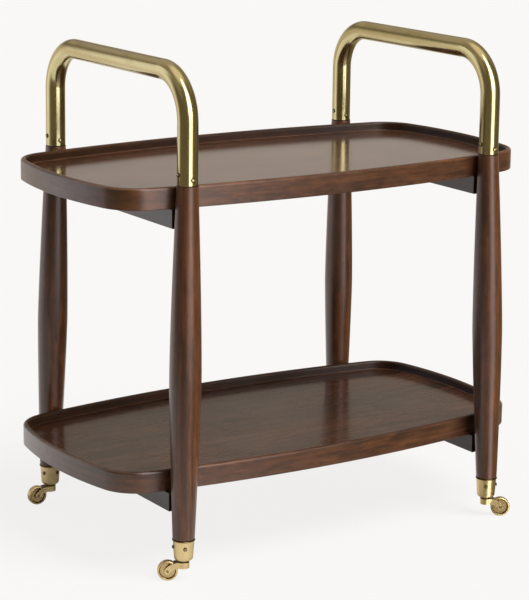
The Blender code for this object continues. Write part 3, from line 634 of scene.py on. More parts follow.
def make_metal(name, color, tarnish, least_rough, most_rough, brushed):
    """Satin metal with fine marks, smudges, a little tarnish, and painted shade at marked edges,
    seams and recesses.
    """
    material, tree, shader = new_material(name)
    if brushed:
        place = stored(tree, "grain", "Vector")
        line = noise(tree, place, *BRUSHED_LINES)
        height = line
    else:
        place = add_node(tree, "ShaderNodeTexCoord").outputs["Object"]
        line = noise(tree, place, *CAST_GRAIN)
        pit = noise(tree, place, *CAST_PITS)
        height = calc(tree, "ADD", line, times(tree, pit, PIT_HEIGHT))
    stain = spread(tree, noise(tree, place, *METAL_SMUDGES), *STAIN_RANGE)
    tone = blended(tree, times(tree, stain, STAIN_DARKNESS), color, tarnish)
    tone = blended(tree, spread(tree, line, *LINE_STAINS), tone, tarnish)
    wear_and_shade = stored(tree, "wear_and_shade", "Fac")
    # Tarnish up to a value of 1, which at the marked edges and seams is painted shade, then
    # near-black painted crevice shade past 1
    worn_and_shaded = times(tree, calc(tree, "MINIMUM", wear_and_shade, 1.0), TARNISH_AND_SHADE_SHARE)
    tone = blended(tree, worn_and_shaded, tone, tarnish)
    crevice_shade = calc(tree, "MAXIMUM", calc(tree, "SUBTRACT", wear_and_shade, 1.0), 0.0)
    tone = blended(tree, crevice_shade, tone, CREVICE_SHADE_COLOR)
    rough = spread(tree, line, *LINE_RANGE, least_rough, most_rough)
    feed(tree, shader, {
        "Base Color": tone,
        "Metallic": 1.0,
        "Roughness": calc(tree, "ADD", rough, times(tree, stain, STAIN_ROUGHNESS)),
        "Normal": bump(tree, height, *METAL_BUMP),
    })
    return material


def make_camera():
    """The photograph's point of view, with the frame shifted down to the trolley."""
    sin_yaw, cos_yaw = math.sin(CAMERA_YAW), math.cos(CAMERA_YAW)
    sin_pitch, cos_pitch = math.sin(CAMERA_PITCH), math.cos(CAMERA_PITCH)
    forward = Vector((sin_yaw * cos_pitch, cos_yaw * cos_pitch, -sin_pitch))
    level_right = Vector((cos_yaw, -sin_yaw, 0))
    level_up = level_right.cross(forward)
    right = level_right * math.cos(CAMERA_ROLL) + level_up * math.sin(CAMERA_ROLL)
    up = level_up * math.cos(CAMERA_ROLL) - level_right * math.sin(CAMERA_ROLL)
    data = bpy.data.cameras.new("camera")
    data.sensor_fit = "AUTO"
    data.sensor_width = SENSOR_WIDTH_MM
    data.lens = FOCAL_LENGTH_PX / max(PHOTO_WIDTH_PX, PHOTO_HEIGHT_PX) * SENSOR_WIDTH_MM
    data.shift_y = (PRINCIPAL_ROW_PX - PHOTO_HEIGHT_PX / 2) / PHOTO_HEIGHT_PX
    camera = new_object("camera", data)
    turn = Matrix((right, up, -forward)).transposed().to_4x4()
    camera.matrix_world = Matrix.Translation(CAMERA_PLACE) @ turn
    bpy.context.scene.camera = camera


def facing(azimuth, elevation):
    """Direction to a place in the studio, its azimuth clockwise from the way the camera looks."""
    angle = CAMERA_YAW + azimuth
    level = math.cos(elevation)
    return Vector((math.sin(angle) * level, math.cos(angle) * level, math.sin(elevation)))


def make_lights():
    """Large soft lights far away, so that they light floor and trolley evenly."""
    for name, (azimuth, elevation, strength, softness, color) in LAMPS.items():
        data = bpy.data.lights.new(name, "SUN")
        data.energy = strength
        data.angle = math.radians(softness)
        data.color = color
        lamp = new_object(name, data)
        toward = facing(math.radians(azimuth), math.radians(elevation))
        lamp.rotation_mode = "QUATERNION"
        lamp.rotation_quaternion = toward.to_track_quat("Z", "Y")
        lamp.visible_glossy = False


def make_world():
    """A pale backdrop for the camera, even light, and a studio that only gloss shows."""
    world = bpy.data.worlds.new("studio")
    bpy.context.scene.world = world
    world.use_nodes = True
    tree = world.node_tree
    tree.nodes.clear()
    direction = add_node(tree, "ShaderNodeTexCoord").outputs["Generated"]
    turned_view = add_node(
        tree, "ShaderNodeVectorRotate", {"Vector": direction, "Angle": CAMERA_YAW},
        rotation_type="Z_AXIS",
    )
    parts = add_node(tree, "ShaderNodeSeparateXYZ", {0: turned_view.outputs[0]})
    azimuth = calc(tree, "ARCTAN2", parts.outputs[0], parts.outputs[1])
    elevation = calc(tree, "ARCSINE", parts.outputs[2])

    def box(left, right, bottom, top, soft, level):
        """A soft-edged bright patch between angles in degrees."""

        def between(angle, low, high):
            low, high, half = [math.radians(value) for value in (low, high, soft)]
            rise = spread(tree, angle, low - half, low + half)
            return times(tree, rise, spread(tree, angle, high + half, high - half))

        mask = times(tree, between(azimuth, left, right), between(elevation, bottom, top))
        return times(tree, mask, level)

    def wall(color, strength):
        return glow(tree, "ShaderNodeBackground", color, strength)

    room = wall(DARK_ROOM, DARK_ROOM_LEVEL)
    for patches, color in ((WALLS, WALL_TINT), (SKY, SKY_TINT), (SOFT_BOXES, BOX_TINT)):
        level = 0.0
        for patch in patches.values():
            level = calc(tree, "ADD", box(*patch), level)
        room = add_node(tree, "ShaderNodeAddShader", {0: wall(color, level), 1: room}).outputs[0]
    path = add_node(tree, "ShaderNodeLightPath")
    lit = mixed(tree, path.outputs["Is Glossy Ray"], wall(EVEN_TINT, EVEN_LEVEL), room)
    surface = mixed(tree, path.outputs["Is Camera Ray"], lit, wall(PALE, 1.0))
    add_node(tree, "ShaderNodeOutputWorld", {"Surface": surface})


def new_quad(name, points):
    """A flat piece of the studio with four corners."""
    mesh = bpy.data.meshes.new(name)
    mesh.from_pydata(points, [], [(0, 1, 2, 3)])
    return new_object(name, mesh)


def glow_material(name):
    """A material without a shader, and the place and the Y of a point on its surface."""
    material, tree, shader = new_material(name)
    tree.nodes.remove(shader)
    place = add_node(tree, "ShaderNodeNewGeometry").outputs["Position"]
    return material, tree, place, add_node(tree, "ShaderNodeSeparateXYZ", {0: place}).outputs[1]


def make_floor():
    """A wide pale floor that keeps the trolley's shadow."""
    half = FLOOR_HALF
    corners = [(-half, -half, 0), (half, -half, 0), (half, half, 0), (-half, half, 0)]
    floor = new_quad("floor", corners)
    material, tree, place, depth = glow_material("pale_floor")
    path = add_node(tree, "ShaderNodeLightPath")
    glossy = path.outputs["Is Glossy Ray"]
    beyond = glossy
    for center, near, far in GLOSS_DISCS:
        reach = vector_calc(tree, "DISTANCE", place, center, "Value")
        beyond = times(tree, beyond, spread(tree, reach, near, far))
    mirrored = times(tree, spread(tree, depth, *FLOOR_FRONT), FLOOR_GLOSS_GLOW)
    # Painted shadow: the floor's glow in gloss is dimmed under the trolley
    reach = vector_calc(tree, "DISTANCE", place, PAINTED_SHADOW_CENTER, "Value")
    mirrored = times(tree, mirrored, spread(tree, reach, *PAINTED_SHADOW_REACH))
    shown = times(tree, path.outputs["Is Camera Ray"], FLOOR_GLOW)
    level = calc(tree, "ADD", shown, times(tree, glossy, mirrored))
    paper_color = [FLOOR_PAPER * value for value in PALE]
    paper = add_node(tree, "ShaderNodeBsdfDiffuse", {"Color": (*paper_color, 1.0)}).outputs[0]
    shine = glow(tree, "ShaderNodeEmission", PALE, level)
    both = add_node(tree, "ShaderNodeAddShader", {0: shine, 1: paper}).outputs[0]
    clear = add_node(tree, "ShaderNodeBsdfTransparent").outputs[0]
    feed(tree, tree.nodes["Material Output"], {"Surface": mixed(tree, beyond, both, clear)})
    floor.data.materials.append(material)
    floor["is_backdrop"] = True


def make_card():
    """A pale card left of the trolley, which only shows in gloss."""
    (near_x, near_y), (far_x, far_y) = CARD_CORNERS
    card = new_quad("left_card", [
        (near_x, near_y, 0), (far_x, far_y, 0), (far_x, far_y, CARD_HEIGHT),
        (near_x, near_y, CARD_HEIGHT),
    ])
    material, tree, place, depth = glow_material("card_glow")
    clear = add_node(tree, "ShaderNodeBsdfTransparent").outputs[0]
    shine = glow(tree, "ShaderNodeEmission", CARD_TINT, CARD_LEVEL)
    shown = mixed(tree, spread(tree, depth, *CARD_FADE), clear, shine)
    feed(tree, tree.nodes["Material Output"], {"Surface": shown})
    card.data.materials.append(material)
    card.visible_camera = card.visible_diffuse = False
    card.visible_transmission = card.visible_shadow = False
    card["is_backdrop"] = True


def tray_outline(inset, half_length, half_width):
    """Closed outline of a tray moved inward by an inset, from four quarters of three arcs."""
    end_center = Vector((half_length - TRAY_END_BOW_RADIUS, 0))
    side_center = Vector((0, half_width - TRAY_SIDE_BOW_RADIUS))
    end_reach = TRAY_END_BOW_RADIUS - TRAY_CORNER_RADIUS
    side_reach = TRAY_SIDE_BOW_RADIUS - TRAY_CORNER_RADIUS
    gap = end_center - side_center
    base = (side_reach ** 2 - end_reach ** 2 + gap.length_squared) / (2 * gap.length)
    height = math.sqrt(side_reach ** 2 - base ** 2)
    unit = gap.normalized()
    corner = side_center + unit * base + Vector((unit.y, -unit.x)) * height
    end_angle = math.atan2(corner.y - end_center.y, corner.x - end_center.x)
    side_angle = math.atan2(corner.y - side_center.y, corner.x - side_center.x)
    quarter = arc(end_center, TRAY_END_BOW_RADIUS - inset, 0, end_angle, BOW_STEPS)
    quarter += arc(corner, TRAY_CORNER_RADIUS - inset, end_angle, side_angle, CORNER_STEPS)[1:]
    quarter += arc(
        side_center, TRAY_SIDE_BOW_RADIUS - inset, side_angle, QUARTER_TURN, BOW_STEPS
    )[1:]
    back_left = [(-x, y) for x, y in reversed(quarter[:-1])]
    front_left = [(-x, -y) for x, y in quarter[1:]]
    front_right = [(x, -y) for x, y in reversed(quarter[1:-1])]
    return quarter + back_left + front_left + front_right


def walk(points):
    """Distance walked round a closed outline to each of its points and back to the first."""
    steps = [0.0]
    for here, there in zip(points, points[1:] + points[:1]):
        steps.append(steps[-1] + math.dist(here, there))
    return steps


def cove_lip():
    """How far the cove reaches over the board, from the rim's outer face."""
    return RIM_THICKNESS + RIM_COVE * (1 + math.cos(HALF_TURN + COVE_SWEEP))


def rim_profile(rim_height):
    """Section of a rim as (inset from the outer face, height above its foot, wear and painted
    shade).
    """
    edge, cove, thick = RIM_EDGE_ROUND, RIM_COVE, RIM_THICKNESS
    foot = rim_height - RIM_RISE + JOINT_GAP
    foot_edge = RIM_FOOT_ROUND
    lower_edge = arc((foot_edge, foot_edge), foot_edge, QUARTER_TURN * 3, HALF_TURN, ROUND_STEPS)
    outer_edge = arc((edge, rim_height - edge), edge, HALF_TURN, QUARTER_TURN, RIM_ROUND_STEPS)
    inner_edge = arc((thick - edge, rim_height - edge), edge, QUARTER_TURN, 0, RIM_ROUND_STEPS)
    hollow = arc((thick + cove, foot + cove), cove, HALF_TURN, HALF_TURN + COVE_SWEEP, ROUND_STEPS)
    points = with_wear_and_shade(lower_edge, RIM_UNDER_WEAR) + with_wear_and_shade(outer_edge[:-2], RIM_OUTER_WEAR)
    points += with_wear_and_shade(outer_edge[-2:] + inner_edge[:-2], RIM_TOP_PAINTED_SHADE)
    points += with_wear_and_shade(inner_edge[-1:] + hollow[:-2], RIM_INNER_GLAZE_AND_SHADE)
    points += with_wear_and_shade(hollow[-2:] + [(cove_lip(), foot)], COVE_FOOT_WEAR_AND_HIGHLIGHT)
    return points + with_wear_and_shade([(thick, foot), (thick, 0)], 0)


def tray_runs(level, corners):
    """Runs of points round a tray, one for each corner of a section as (inset, height)."""
    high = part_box(level + "_tray_rim")[1]
    return [[(x, y, z) for x, y in tray_outline(inset, high.x, high.y)] for inset, z in corners]


def make_rim(level, wood):
    """The rim of a tray as a ring of equal sections, its grain running round the tray."""
    node = level + "_tray_rim"
    low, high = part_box(node)
    section = rim_profile(high.z - low.z)
    rings = list(zip(*tray_runs(level, [(inset, low.z + z) for inset, z, wear_and_shade in section])))
    steps = walk(tray_outline(0, high.x, high.y))

    def grain(row, column, point):
        inset, height, worn_and_shaded = section[column % len(section)]
        return (steps[row], height + low.z, inset)

    def wear_and_shade(row, column):
        return section[column % len(section)][2]

    mesh = skin(rings, node, grain, wear_and_shade, close_rows=True)
    add_piece(node, mesh, wood, "frame")


def make_board(level, wood):
    """The flat board of a tray, inside its rim."""
    node = level + "_tray_panel"
    low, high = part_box(node)
    side = RIM_THICKNESS + JOINT_GAP
    edge = BOARD_EDGE_ROUND
    rows = tray_runs(level, [
        (side + edge, low.z),
        (side, low.z + edge),
        (side, high.z - edge),
        (cove_lip() + JOINT_GAP, high.z),
    ])
    mesh = skin(rows, node, lambda row, column, point: (point.x, point.y + low.z, point.z))
    add_piece(node, mesh, wood, "frame")


def handle_axis(corner):
    """Upright axis of a handle's foot, in plan."""
    side_x, side_y = CORNERS[corner]
    low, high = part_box("left_handle" if side_x < 0 else "right_handle")
    return Vector(((low.x + high.x) / 2, side_y * (high.y - HANDLE_TUBE_RADIUS)))


def leg_shape(corner):
    """Heights of a leg's two shoulders, and functions for its radius and axis at a height.

    The axis leans between the shoulders and is upright past them.
    """
    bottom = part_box(corner + "_caster_cup")[1].z + JOINT_GAP
    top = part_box("left_handle")[0].z
    belly = LEG_BELLY_HEIGHT
    head_axis, foot_axis = handle_axis(corner), middle(corner + "_caster_kingpin").to_2d()

    def radius(height):
        if height > belly:
            swell = min((height - belly) / (top - belly), 1) ** UPPER_SWELL_EXPONENT
            return LEG_BELLY_RADIUS - (LEG_BELLY_RADIUS - LEG_TOP_RADIUS) * swell
        swell = min((belly - height) / (belly - bottom), 1) ** LOWER_SWELL_EXPONENT
        return LEG_BELLY_RADIUS - (LEG_BELLY_RADIUS - LEG_ANKLE_RADIUS) * swell

    def axis(height):
        share = (top - height) / (top - bottom)
        return head_axis.lerp(foot_axis, min(max(share, 0), 1))

    return bottom, top, radius, axis


def cup_radius(height, low, high):
    """Tapered wall of the cup, above its rounded bottom."""
    share = (height - low - CUP_NECK_HEIGHT) / (high - low - CUP_NECK_HEIGHT)
    return CUP_BASE_RADIUS + (CUP_TOP_RADIUS - CUP_BASE_RADIUS) * share


def make_leg(corner, wood):
    """A turned leg that leans outward to the floor, with a spigot at each end."""
    node = corner + "_leg"
    low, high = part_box(node)
    cup_low, cup_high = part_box(corner + "_caster_cup")
    shoulder_bottom, shoulder_top, radius, axis = leg_shape(corner)
    edge = LEG_EDGE_ROUND
    top = shoulder_top - JOINT_GAP
    foot_radius = cup_radius(low.z, cup_low.z, cup_high.z) - CUP_WALL - JOINT_GAP
    neck_radius = CUP_TOP_RADIUS - CUP_WALL - JOINT_GAP
    spigot = [(foot_radius - edge, low.z), (foot_radius, low.z + edge)]
    stations = with_wear_and_shade(spigot + [(neck_radius, shoulder_bottom)], 0)
    ankle = radius(shoulder_bottom)
    foot = arc((ankle - edge, shoulder_bottom + edge), edge, -QUARTER_TURN, 0, ROUND_STEPS)
    stations += with_wear_and_shade(foot, LEG_FOOT_WEAR)
    for start, end in ((shoulder_bottom + edge, LEG_BELLY_HEIGHT), (LEG_BELLY_HEIGHT, top - edge)):
        for i in range(1, LEG_STATIONS + 1):
            height = start + (end - start) * i / LEG_STATIONS
            stations.append((radius(height), height, 0))
    shoulder = arc((radius(top) - edge, top - edge), edge, 0, QUARTER_TURN, ROUND_STEPS)[1:]
    # The shoulder is glazed dark as painted shade, for the shadow in the joint under the brass foot
    stations += with_wear_and_shade(shoulder + [(LEG_SPIGOT_RADIUS, top)], LEG_SHOULDER_PAINTED_SHADE)
    stations += with_wear_and_shade([(LEG_SPIGOT_RADIUS, high.z - edge), (LEG_SPIGOT_RADIUS - edge, high.z)], 0)
    rows = []
    for size, height, wear_and_shade in stations:
        rows.append([(x, y, height) for x, y in circle(size, LEG_FACETS, axis(height))])

    def grain(row, column, point):
        return (point.z, point.x, point.y)

    mesh = skin(rows, node, grain, lambda row, column: stations[row][2])
    add_piece(node, mesh, wood, "frame")


def make_rail(level, side, wood):
    """A straight rail under a tray, with round edges and eased ends."""
    node = level + "_" + side + "_rail"
    low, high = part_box(node)
    round_size = RAIL_EDGE_ROUND
    end_ease = RAIL_END_EASE
    end = rail_half_length(level)
    half_x = (high.x - low.x) / 2
    half_z = (high.z - low.z) / 2
    center_x, center_z = (low.x + high.x) / 2, (low.z + high.z) / 2
    rows = []
    for y, ease in ((-end, end_ease), (end_ease - end, 0), (end - end_ease, 0), (end, end_ease)):
        section = []
        for number, (sx, sz) in enumerate(((1, 1), (-1, 1), (-1, -1), (1, -1))):
            x = center_x + sx * (half_x - round_size)
            z = center_z + sz * (half_z - round_size)
            start = number * QUARTER_TURN
            section += arc((x, z), round_size - ease, start, start + QUARTER_TURN, ROUND_STEPS)
        rows.append([(x, y, z) for x, z in section])
    mesh = skin(rows, node, lambda row, column, point: (point.y, point.x + low.z, point.z))
    add_piece(node, mesh, wood, "frame")


def rail_half_length(level):
    """Half a rail, up to the nearest point of the legs beyond its ends."""
    low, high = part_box(level + "_left_rail")
    bottom, top, radius, axis = leg_shape("back_left")
    heights = (low.z, (low.z + high.z) / 2, high.z)
    return min(axis(height).y - radius(height) for height in heights) - JOINT_GAP


def make_handle(side, brass):
    """The bent tube of a handle, open at both feet, with fine marks along its length."""
    node = side + "_handle"
    low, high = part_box(node)
    center_x = (low.x + high.x) / 2
    foot_y = high.y - HANDLE_TUBE_RADIUS
    bend = HANDLE_BEND_RADIUS
    bend_z = high.z - HANDLE_TUBE_RADIUS - bend
    inner_y = foot_y - bend
    edge = HANDLE_FOOT_ROUND
    foot = [(low.z + z, r) for r, z in arc((-edge, edge), edge, -QUARTER_TURN, 0, ROUND_STEPS)]
    stations = [(-foot_y, z, HALF_TURN, HANDLE_TUBE_RADIUS + r) for z, r in foot]
    for center, start in ((-inner_y, HALF_TURN), (inner_y, QUARTER_TURN)):
        for i in range(BEND_STEPS + 1):
            angle = start - QUARTER_TURN * i / BEND_STEPS
            y = center + bend * math.cos(angle)
            z = bend_z + bend * math.sin(angle)
            stations.append((y, z, angle, HANDLE_TUBE_RADIUS))
    stations += [(foot_y, z, 0, HANDLE_TUBE_RADIUS + r) for z, r in reversed(foot)]
    bore = HANDLE_TUBE_RADIUS - HANDLE_TUBE_WALL
    inside = [(y, z, angle, bore) for y, z, angle, size in stations]
    ends = len(foot) - 1
    inside = inside[:1] + inside[ends:-ends] + inside[-1:]
    rows = []
    for y, z, angle, size in stations + inside[::-1]:
        normal = Vector((0, math.cos(angle), math.sin(angle)))
        point = Vector((center_x, y, z))
        rows.append([point + Vector((u, 0, 0)) + normal * v for u, v in circle(size, TUBE_FACETS)])
    along = walk([station[:2] for station in stations + inside[::-1]])

    def grain(row, column, point):
        return (along[row] + center_x, FULL_TURN * HANDLE_TUBE_RADIUS * column / TUBE_FACETS, 0)

    def wear_and_shade(row, column):
        at_foot = row < ends or len(stations) - ends < row < len(stations)
        return TUBE_FOOT_WEAR if at_foot else 0.0

    mesh = skin(rows, node, grain, wear_and_shade, close_rows=True)
    add_piece(node, mesh, brass, "frame")


def screw_mesh(head, dome, shank, length, name):
    """Slotted screw that points down, its low dome steep, with a ring of painted shade and dark
    reflection round the edge.
    """
    angles = [QUARTER_TURN * (1 - i / DOME_STEPS) for i in range(DOME_STEPS + 1)]
    angles[0] *= DOME_TOP_SHARE
    points = [(head * math.cos(a) ** DOME_POWER, dome * math.sin(a) ** DOME_POWER) for a in angles]
    bright = DOME_STEPS - DOME_DARK_STEPS + 1
    profile = with_wear_and_shade(points[:bright], 0)
    profile += with_wear_and_shade(points[bright:] + [(shank, 0)], SCREW_EDGE_PAINTED_SHADE)
    profile += with_wear_and_shade([(shank, shank - length), (shank * END_SHARE, -length)], 0)
    screw = turned(profile, SCREW_FACETS, name)
    slot = skin(
        [[(x, y, z) for x, y in ((-1, -1), (1, -1), (1, 1), (-1, 1))] for z in (-1, 1)], "slot"
    )
    slot.transform(Matrix.Diagonal((head + SLOT_OVERRUN, SLOT_WIDTH / 2, SLOT_DEPTH, 1)))
    slot.transform(Matrix.Translation((0, 0, dome)))
    return combined(screw, [slot], "DIFFERENCE", name)


def place_screws(kind, sizes, turns, material, hold):
    """Two level screws at each corner. hold(corner, node) gives the axis and seat of one."""
    mesh = screw_mesh(*sizes, kind)
    nodes = [(corner, corner + "_" + kind + "_" + number) for corner in CORNERS for number in "12"]
    for (corner, node), turn in zip(nodes, turns):
        axis, seat = hold(corner, node)
        center = middle(node)
        away = center.to_2d() - axis
        azimuth = math.atan2(away.y, away.x)
        matrix = Matrix.Translation((*axis, center.z)) @ outward(azimuth)
        matrix = matrix @ Matrix.Translation((0, 0, seat)) @ Matrix.Rotation(turn, 4, "Z")
        add_piece(node, moved(mesh, matrix), material, "frame")


def make_handle_screws(brass):
    """Two slotted screws in each handle foot."""
    low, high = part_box("front_left_handle_screw_1")
    head, dome = HANDLE_SCREW_HEAD_RADIUS, HANDLE_SCREW_HEAD_HEIGHT
    sizes = (head, dome, HANDLE_SCREW_SHANK_RADIUS, high.x - low.x - dome)

    def hold(corner, node):
        return handle_axis(corner), HANDLE_TUBE_RADIUS + JOINT_GAP

    place_screws("handle_screw", sizes, HANDLE_SCREW_TURNS, brass, hold)


def make_cup_screws(brass):
    """Two slotted screws in each caster cup."""
    head = CUP_SCREW_HEAD_RADIUS
    sizes = (head, CUP_SCREW_HEAD_HEIGHT, CUP_SCREW_SHANK_RADIUS, CUP_SCREW_LENGTH)

    def hold(corner, node):
        low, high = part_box(corner + "_caster_cup")
        seat = cup_radius(middle(node).z + head, low.z, high.z) + JOINT_GAP
        return middle(corner + "_caster_kingpin").to_2d(), seat

    place_screws("cup_screw", sizes, CUP_SCREW_TURNS, brass, hold)


def make_tray_screws(steel):
    """Countersunk screws from the rails up into the trays."""
    ends = [level + "_" + side + "_tray_screw_" for level in LEVELS for side in SIDES]
    for node in [start + end for start in ends for end in ("front", "back")]:
        low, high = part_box(node)
        tip = high.z - low.z
        profile = [
            (TRAY_SCREW_SHANK_RADIUS * END_SHARE, tip),
            (TRAY_SCREW_SHANK_RADIUS, tip - TRAY_SCREW_POINT),
            (TRAY_SCREW_SHANK_RADIUS, TRAY_SCREW_HEAD_HEIGHT),
            (TRAY_SCREW_HEAD_RADIUS, 0),
            (TRAY_SCREW_HEAD_RADIUS * SCREW_FACE_SHARE, 0),
        ]
        screw = turned(with_wear_and_shade(profile, 0), SCREW_FACETS, node)
        center = middle(node)
        screw.transform(Matrix.Translation((center.x, center.y, low.z)))
        add_piece(node, screw, steel, "frame")


def make_cup(corner, brass):
    """Tapered cup with a flared lip, a rounded bottom and a neck."""
    node = corner + "_caster_cup"
    low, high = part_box(node)
    lip_radius = (high.x - low.x) / 2
    bottom = low.z + CUP_NECK_HEIGHT
    floor = bottom + CUP_FLOOR
    hole = KINGPIN_RADIUS + JOINT_GAP

    def wall(height):
        return cup_radius(height, low.z, high.z)

    lip, fillet, neck = CUP_LIP_ROUND, CUP_NECK_FILLET, CUP_NECK_RADIUS
    lip_low = high.z - CUP_LIP_HEIGHT
    crease = lip_low - CUP_LIP_CREASE
    round_top = bottom + CUP_BOTTOM_ROUND
    round_center = (wall(round_top) - CUP_BOTTOM_ROUND, round_top)
    lip_top = arc((lip_radius - lip, high.z - lip), lip, QUARTER_TURN, 0, ROUND_STEPS)
    lip_under = arc((lip_radius - lip, lip_low + lip), lip, 0, -QUARTER_TURN, ROUND_STEPS)
    base = arc(round_center, CUP_BOTTOM_ROUND, 0, -QUARTER_TURN, CUP_BOTTOM_STEPS)
    inside = [(hole, floor), (wall(floor) - CUP_WALL, floor), (wall(high.z) - CUP_WALL, high.z)]
    # The lip, its underside and the neck get near-black painted shade where the cup meets the leg
    # and the horn
    profile = with_wear_and_shade(inside, 0) + with_wear_and_shade(lip_top, CUP_LIP_PAINTED_SHADE)
    profile += with_wear_and_shade(lip_under, CUP_LIP_UNDER_PAINTED_SHADE)
    profile += with_wear_and_shade([(wall(lip_low) + CUP_LIP_LEDGE, lip_low)], CUP_LIP_PAINTED_SHADE)
    profile += with_wear_and_shade([(wall(crease), crease)] + base, 0)
    stem = [(neck + fillet, bottom), (neck, bottom - fillet), (neck, low.z)]
    profile += with_wear_and_shade(stem, CUP_NECK_PAINTED_SHADE) + with_wear_and_shade([(hole, low.z)], 0)
    mesh = turned(profile, TURNED_FACETS, node, closed=True)
    center = middle(corner + "_caster_kingpin")
    mesh.transform(Matrix.Translation((center.x, center.y, 0)))
    add_piece(node, mesh, brass, "frame")


def make_kingpin(corner, brass):
    node = corner + "_caster_kingpin"
    low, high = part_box(node)
    center = middle(node)
    head_low = high.z - KINGPIN_HEAD_HEIGHT
    rivet_high = low.z + KINGPIN_RIVET_HEIGHT
    profile = [
        (KINGPIN_RADIUS * 0.1, high.z),
        (KINGPIN_HEAD_RADIUS, high.z),
        (KINGPIN_HEAD_RADIUS, head_low),
        (KINGPIN_RADIUS, head_low),
        (KINGPIN_RADIUS, rivet_high),
    ]
    angles = [QUARTER_TURN * i / RIVET_STEPS * RIVET_SWEEP_SHARE for i in range(RIVET_STEPS + 1)]
    profile += [
        (KINGPIN_RIVET_RADIUS * math.cos(a), rivet_high - KINGPIN_RIVET_HEIGHT * math.sin(a))
        for a in angles
    ]
    mesh = turned(with_wear_and_shade(profile, 0), SCREW_FACETS, node)
    mesh.transform(Matrix.Translation((center.x, center.y, 0)))
    add_piece(node, mesh, brass, "frame")


def tangent_arm(trail, height, tip_radius, wheel_radius, inner):
    """Centre height and radius of the arc from a level edge to the round tip of the arm."""
    reach = trail - HORN_STRAIGHT
    drop = height - wheel_radius
    sign = 1 if inner else -1
    radius = (reach ** 2 + drop ** 2 - tip_radius ** 2) / (2 * (drop + sign * tip_radius))
    return height - radius, radius


def horn_side_outline(trail, wheel_radius, top):
    """Side view of the horn as (along the trail, height) pairs."""
    tip = (trail, wheel_radius)
    bottom = top - HORN_HEIGHT
    back = -HORN_BOSS_RADIUS - HORN_OVERRUN
    high_center, high_radius = tangent_arm(trail, top, HORN_TIP_RADIUS, wheel_radius, False)
    low_center, low_radius = tangent_arm(trail, bottom, HORN_TIP_RADIUS, wheel_radius, True)
    high_angle = math.atan2(tip[1] - high_center, tip[0] - HORN_STRAIGHT)
    low_angle = math.atan2(tip[1] - low_center, tip[0] - HORN_STRAIGHT)
    outline = [(back, top)]
    outline += arc((HORN_STRAIGHT, high_center), high_radius, QUARTER_TURN, high_angle, HORN_STEPS)
    outline += arc(tip, HORN_TIP_RADIUS, high_angle, low_angle - HALF_TURN, HORN_STEPS)[1:]
    outline += arc((HORN_STRAIGHT, low_center), low_radius, low_angle, QUARTER_TURN, HORN_STEPS)[1:]
    outline.append((back, bottom))
    return outline


def horn_plan_outline(half, trail):
    """Plan of the horn: a round boss with two straight sides towards the wheel."""
    start = math.asin(half / HORN_BOSS_RADIUS)
    outline = arc((0, 0), HORN_BOSS_RADIUS, start, FULL_TURN - start, 2 * HORN_STEPS)
    front = trail + HORN_TIP_RADIUS + HORN_OVERRUN
    return outline + [(front, -half), (front, half)]


def prism(outline, bottom, top, name):
    return skin([[(x, y, z) for x, y in outline] for z in (bottom, top)], name)


def rod(radius, start, end, name):
    return prism(circle(radius, TURNED_FACETS), start, end, name)


def horn_mesh(trail, wheel_radius, top, half_wheel):
    """Forked horn: boss under the cup and two arms that curve down past the wheel."""
    half_slot = half_wheel + RUNNING_GAP
    half = half_slot + HORN_CHEEK
    wide = HORN_BOSS_RADIUS + HORN_OVERRUN
    upright = Matrix.Rotation(QUARTER_TURN, 4, "X")
    side = prism(horn_side_outline(trail, wheel_radius, top), -wide, wide, "side")
    side.transform(upright)
    plan = prism(horn_plan_outline(half, trail), 0, top + HORN_OVERRUN, "plan")
    horn = combined(side, [plan], "INTERSECT", "caster_horn")
    axle = Matrix.Translation((trail, 0, wheel_radius)) @ upright
    slot = rod(wheel_radius + WHEEL_CLEARANCE, -half_slot, half_slot, "slot")
    bore = rod(AXLE_RADIUS + JOINT_GAP, -wide, wide, "bore")
    well = rod(KINGPIN_RADIUS + RUNNING_GAP, 0, top + HORN_OVERRUN, "well")
    slot.transform(axle)
    bore.transform(axle)
    horn = combined(horn, [slot, bore, well], "DIFFERENCE", "caster_horn")
    # Faces that look up are painted near black as the shadow under the cup
    wear_and_shade = horn.attributes["wear_and_shade"].data
    for polygon in horn.polygons:
        if polygon.normal.z > HORN_TOP_SLOPE:
            for corner in polygon.loop_indices:
                wear_and_shade[corner].value = HORN_TOP_PAINTED_SHADE
    return horn


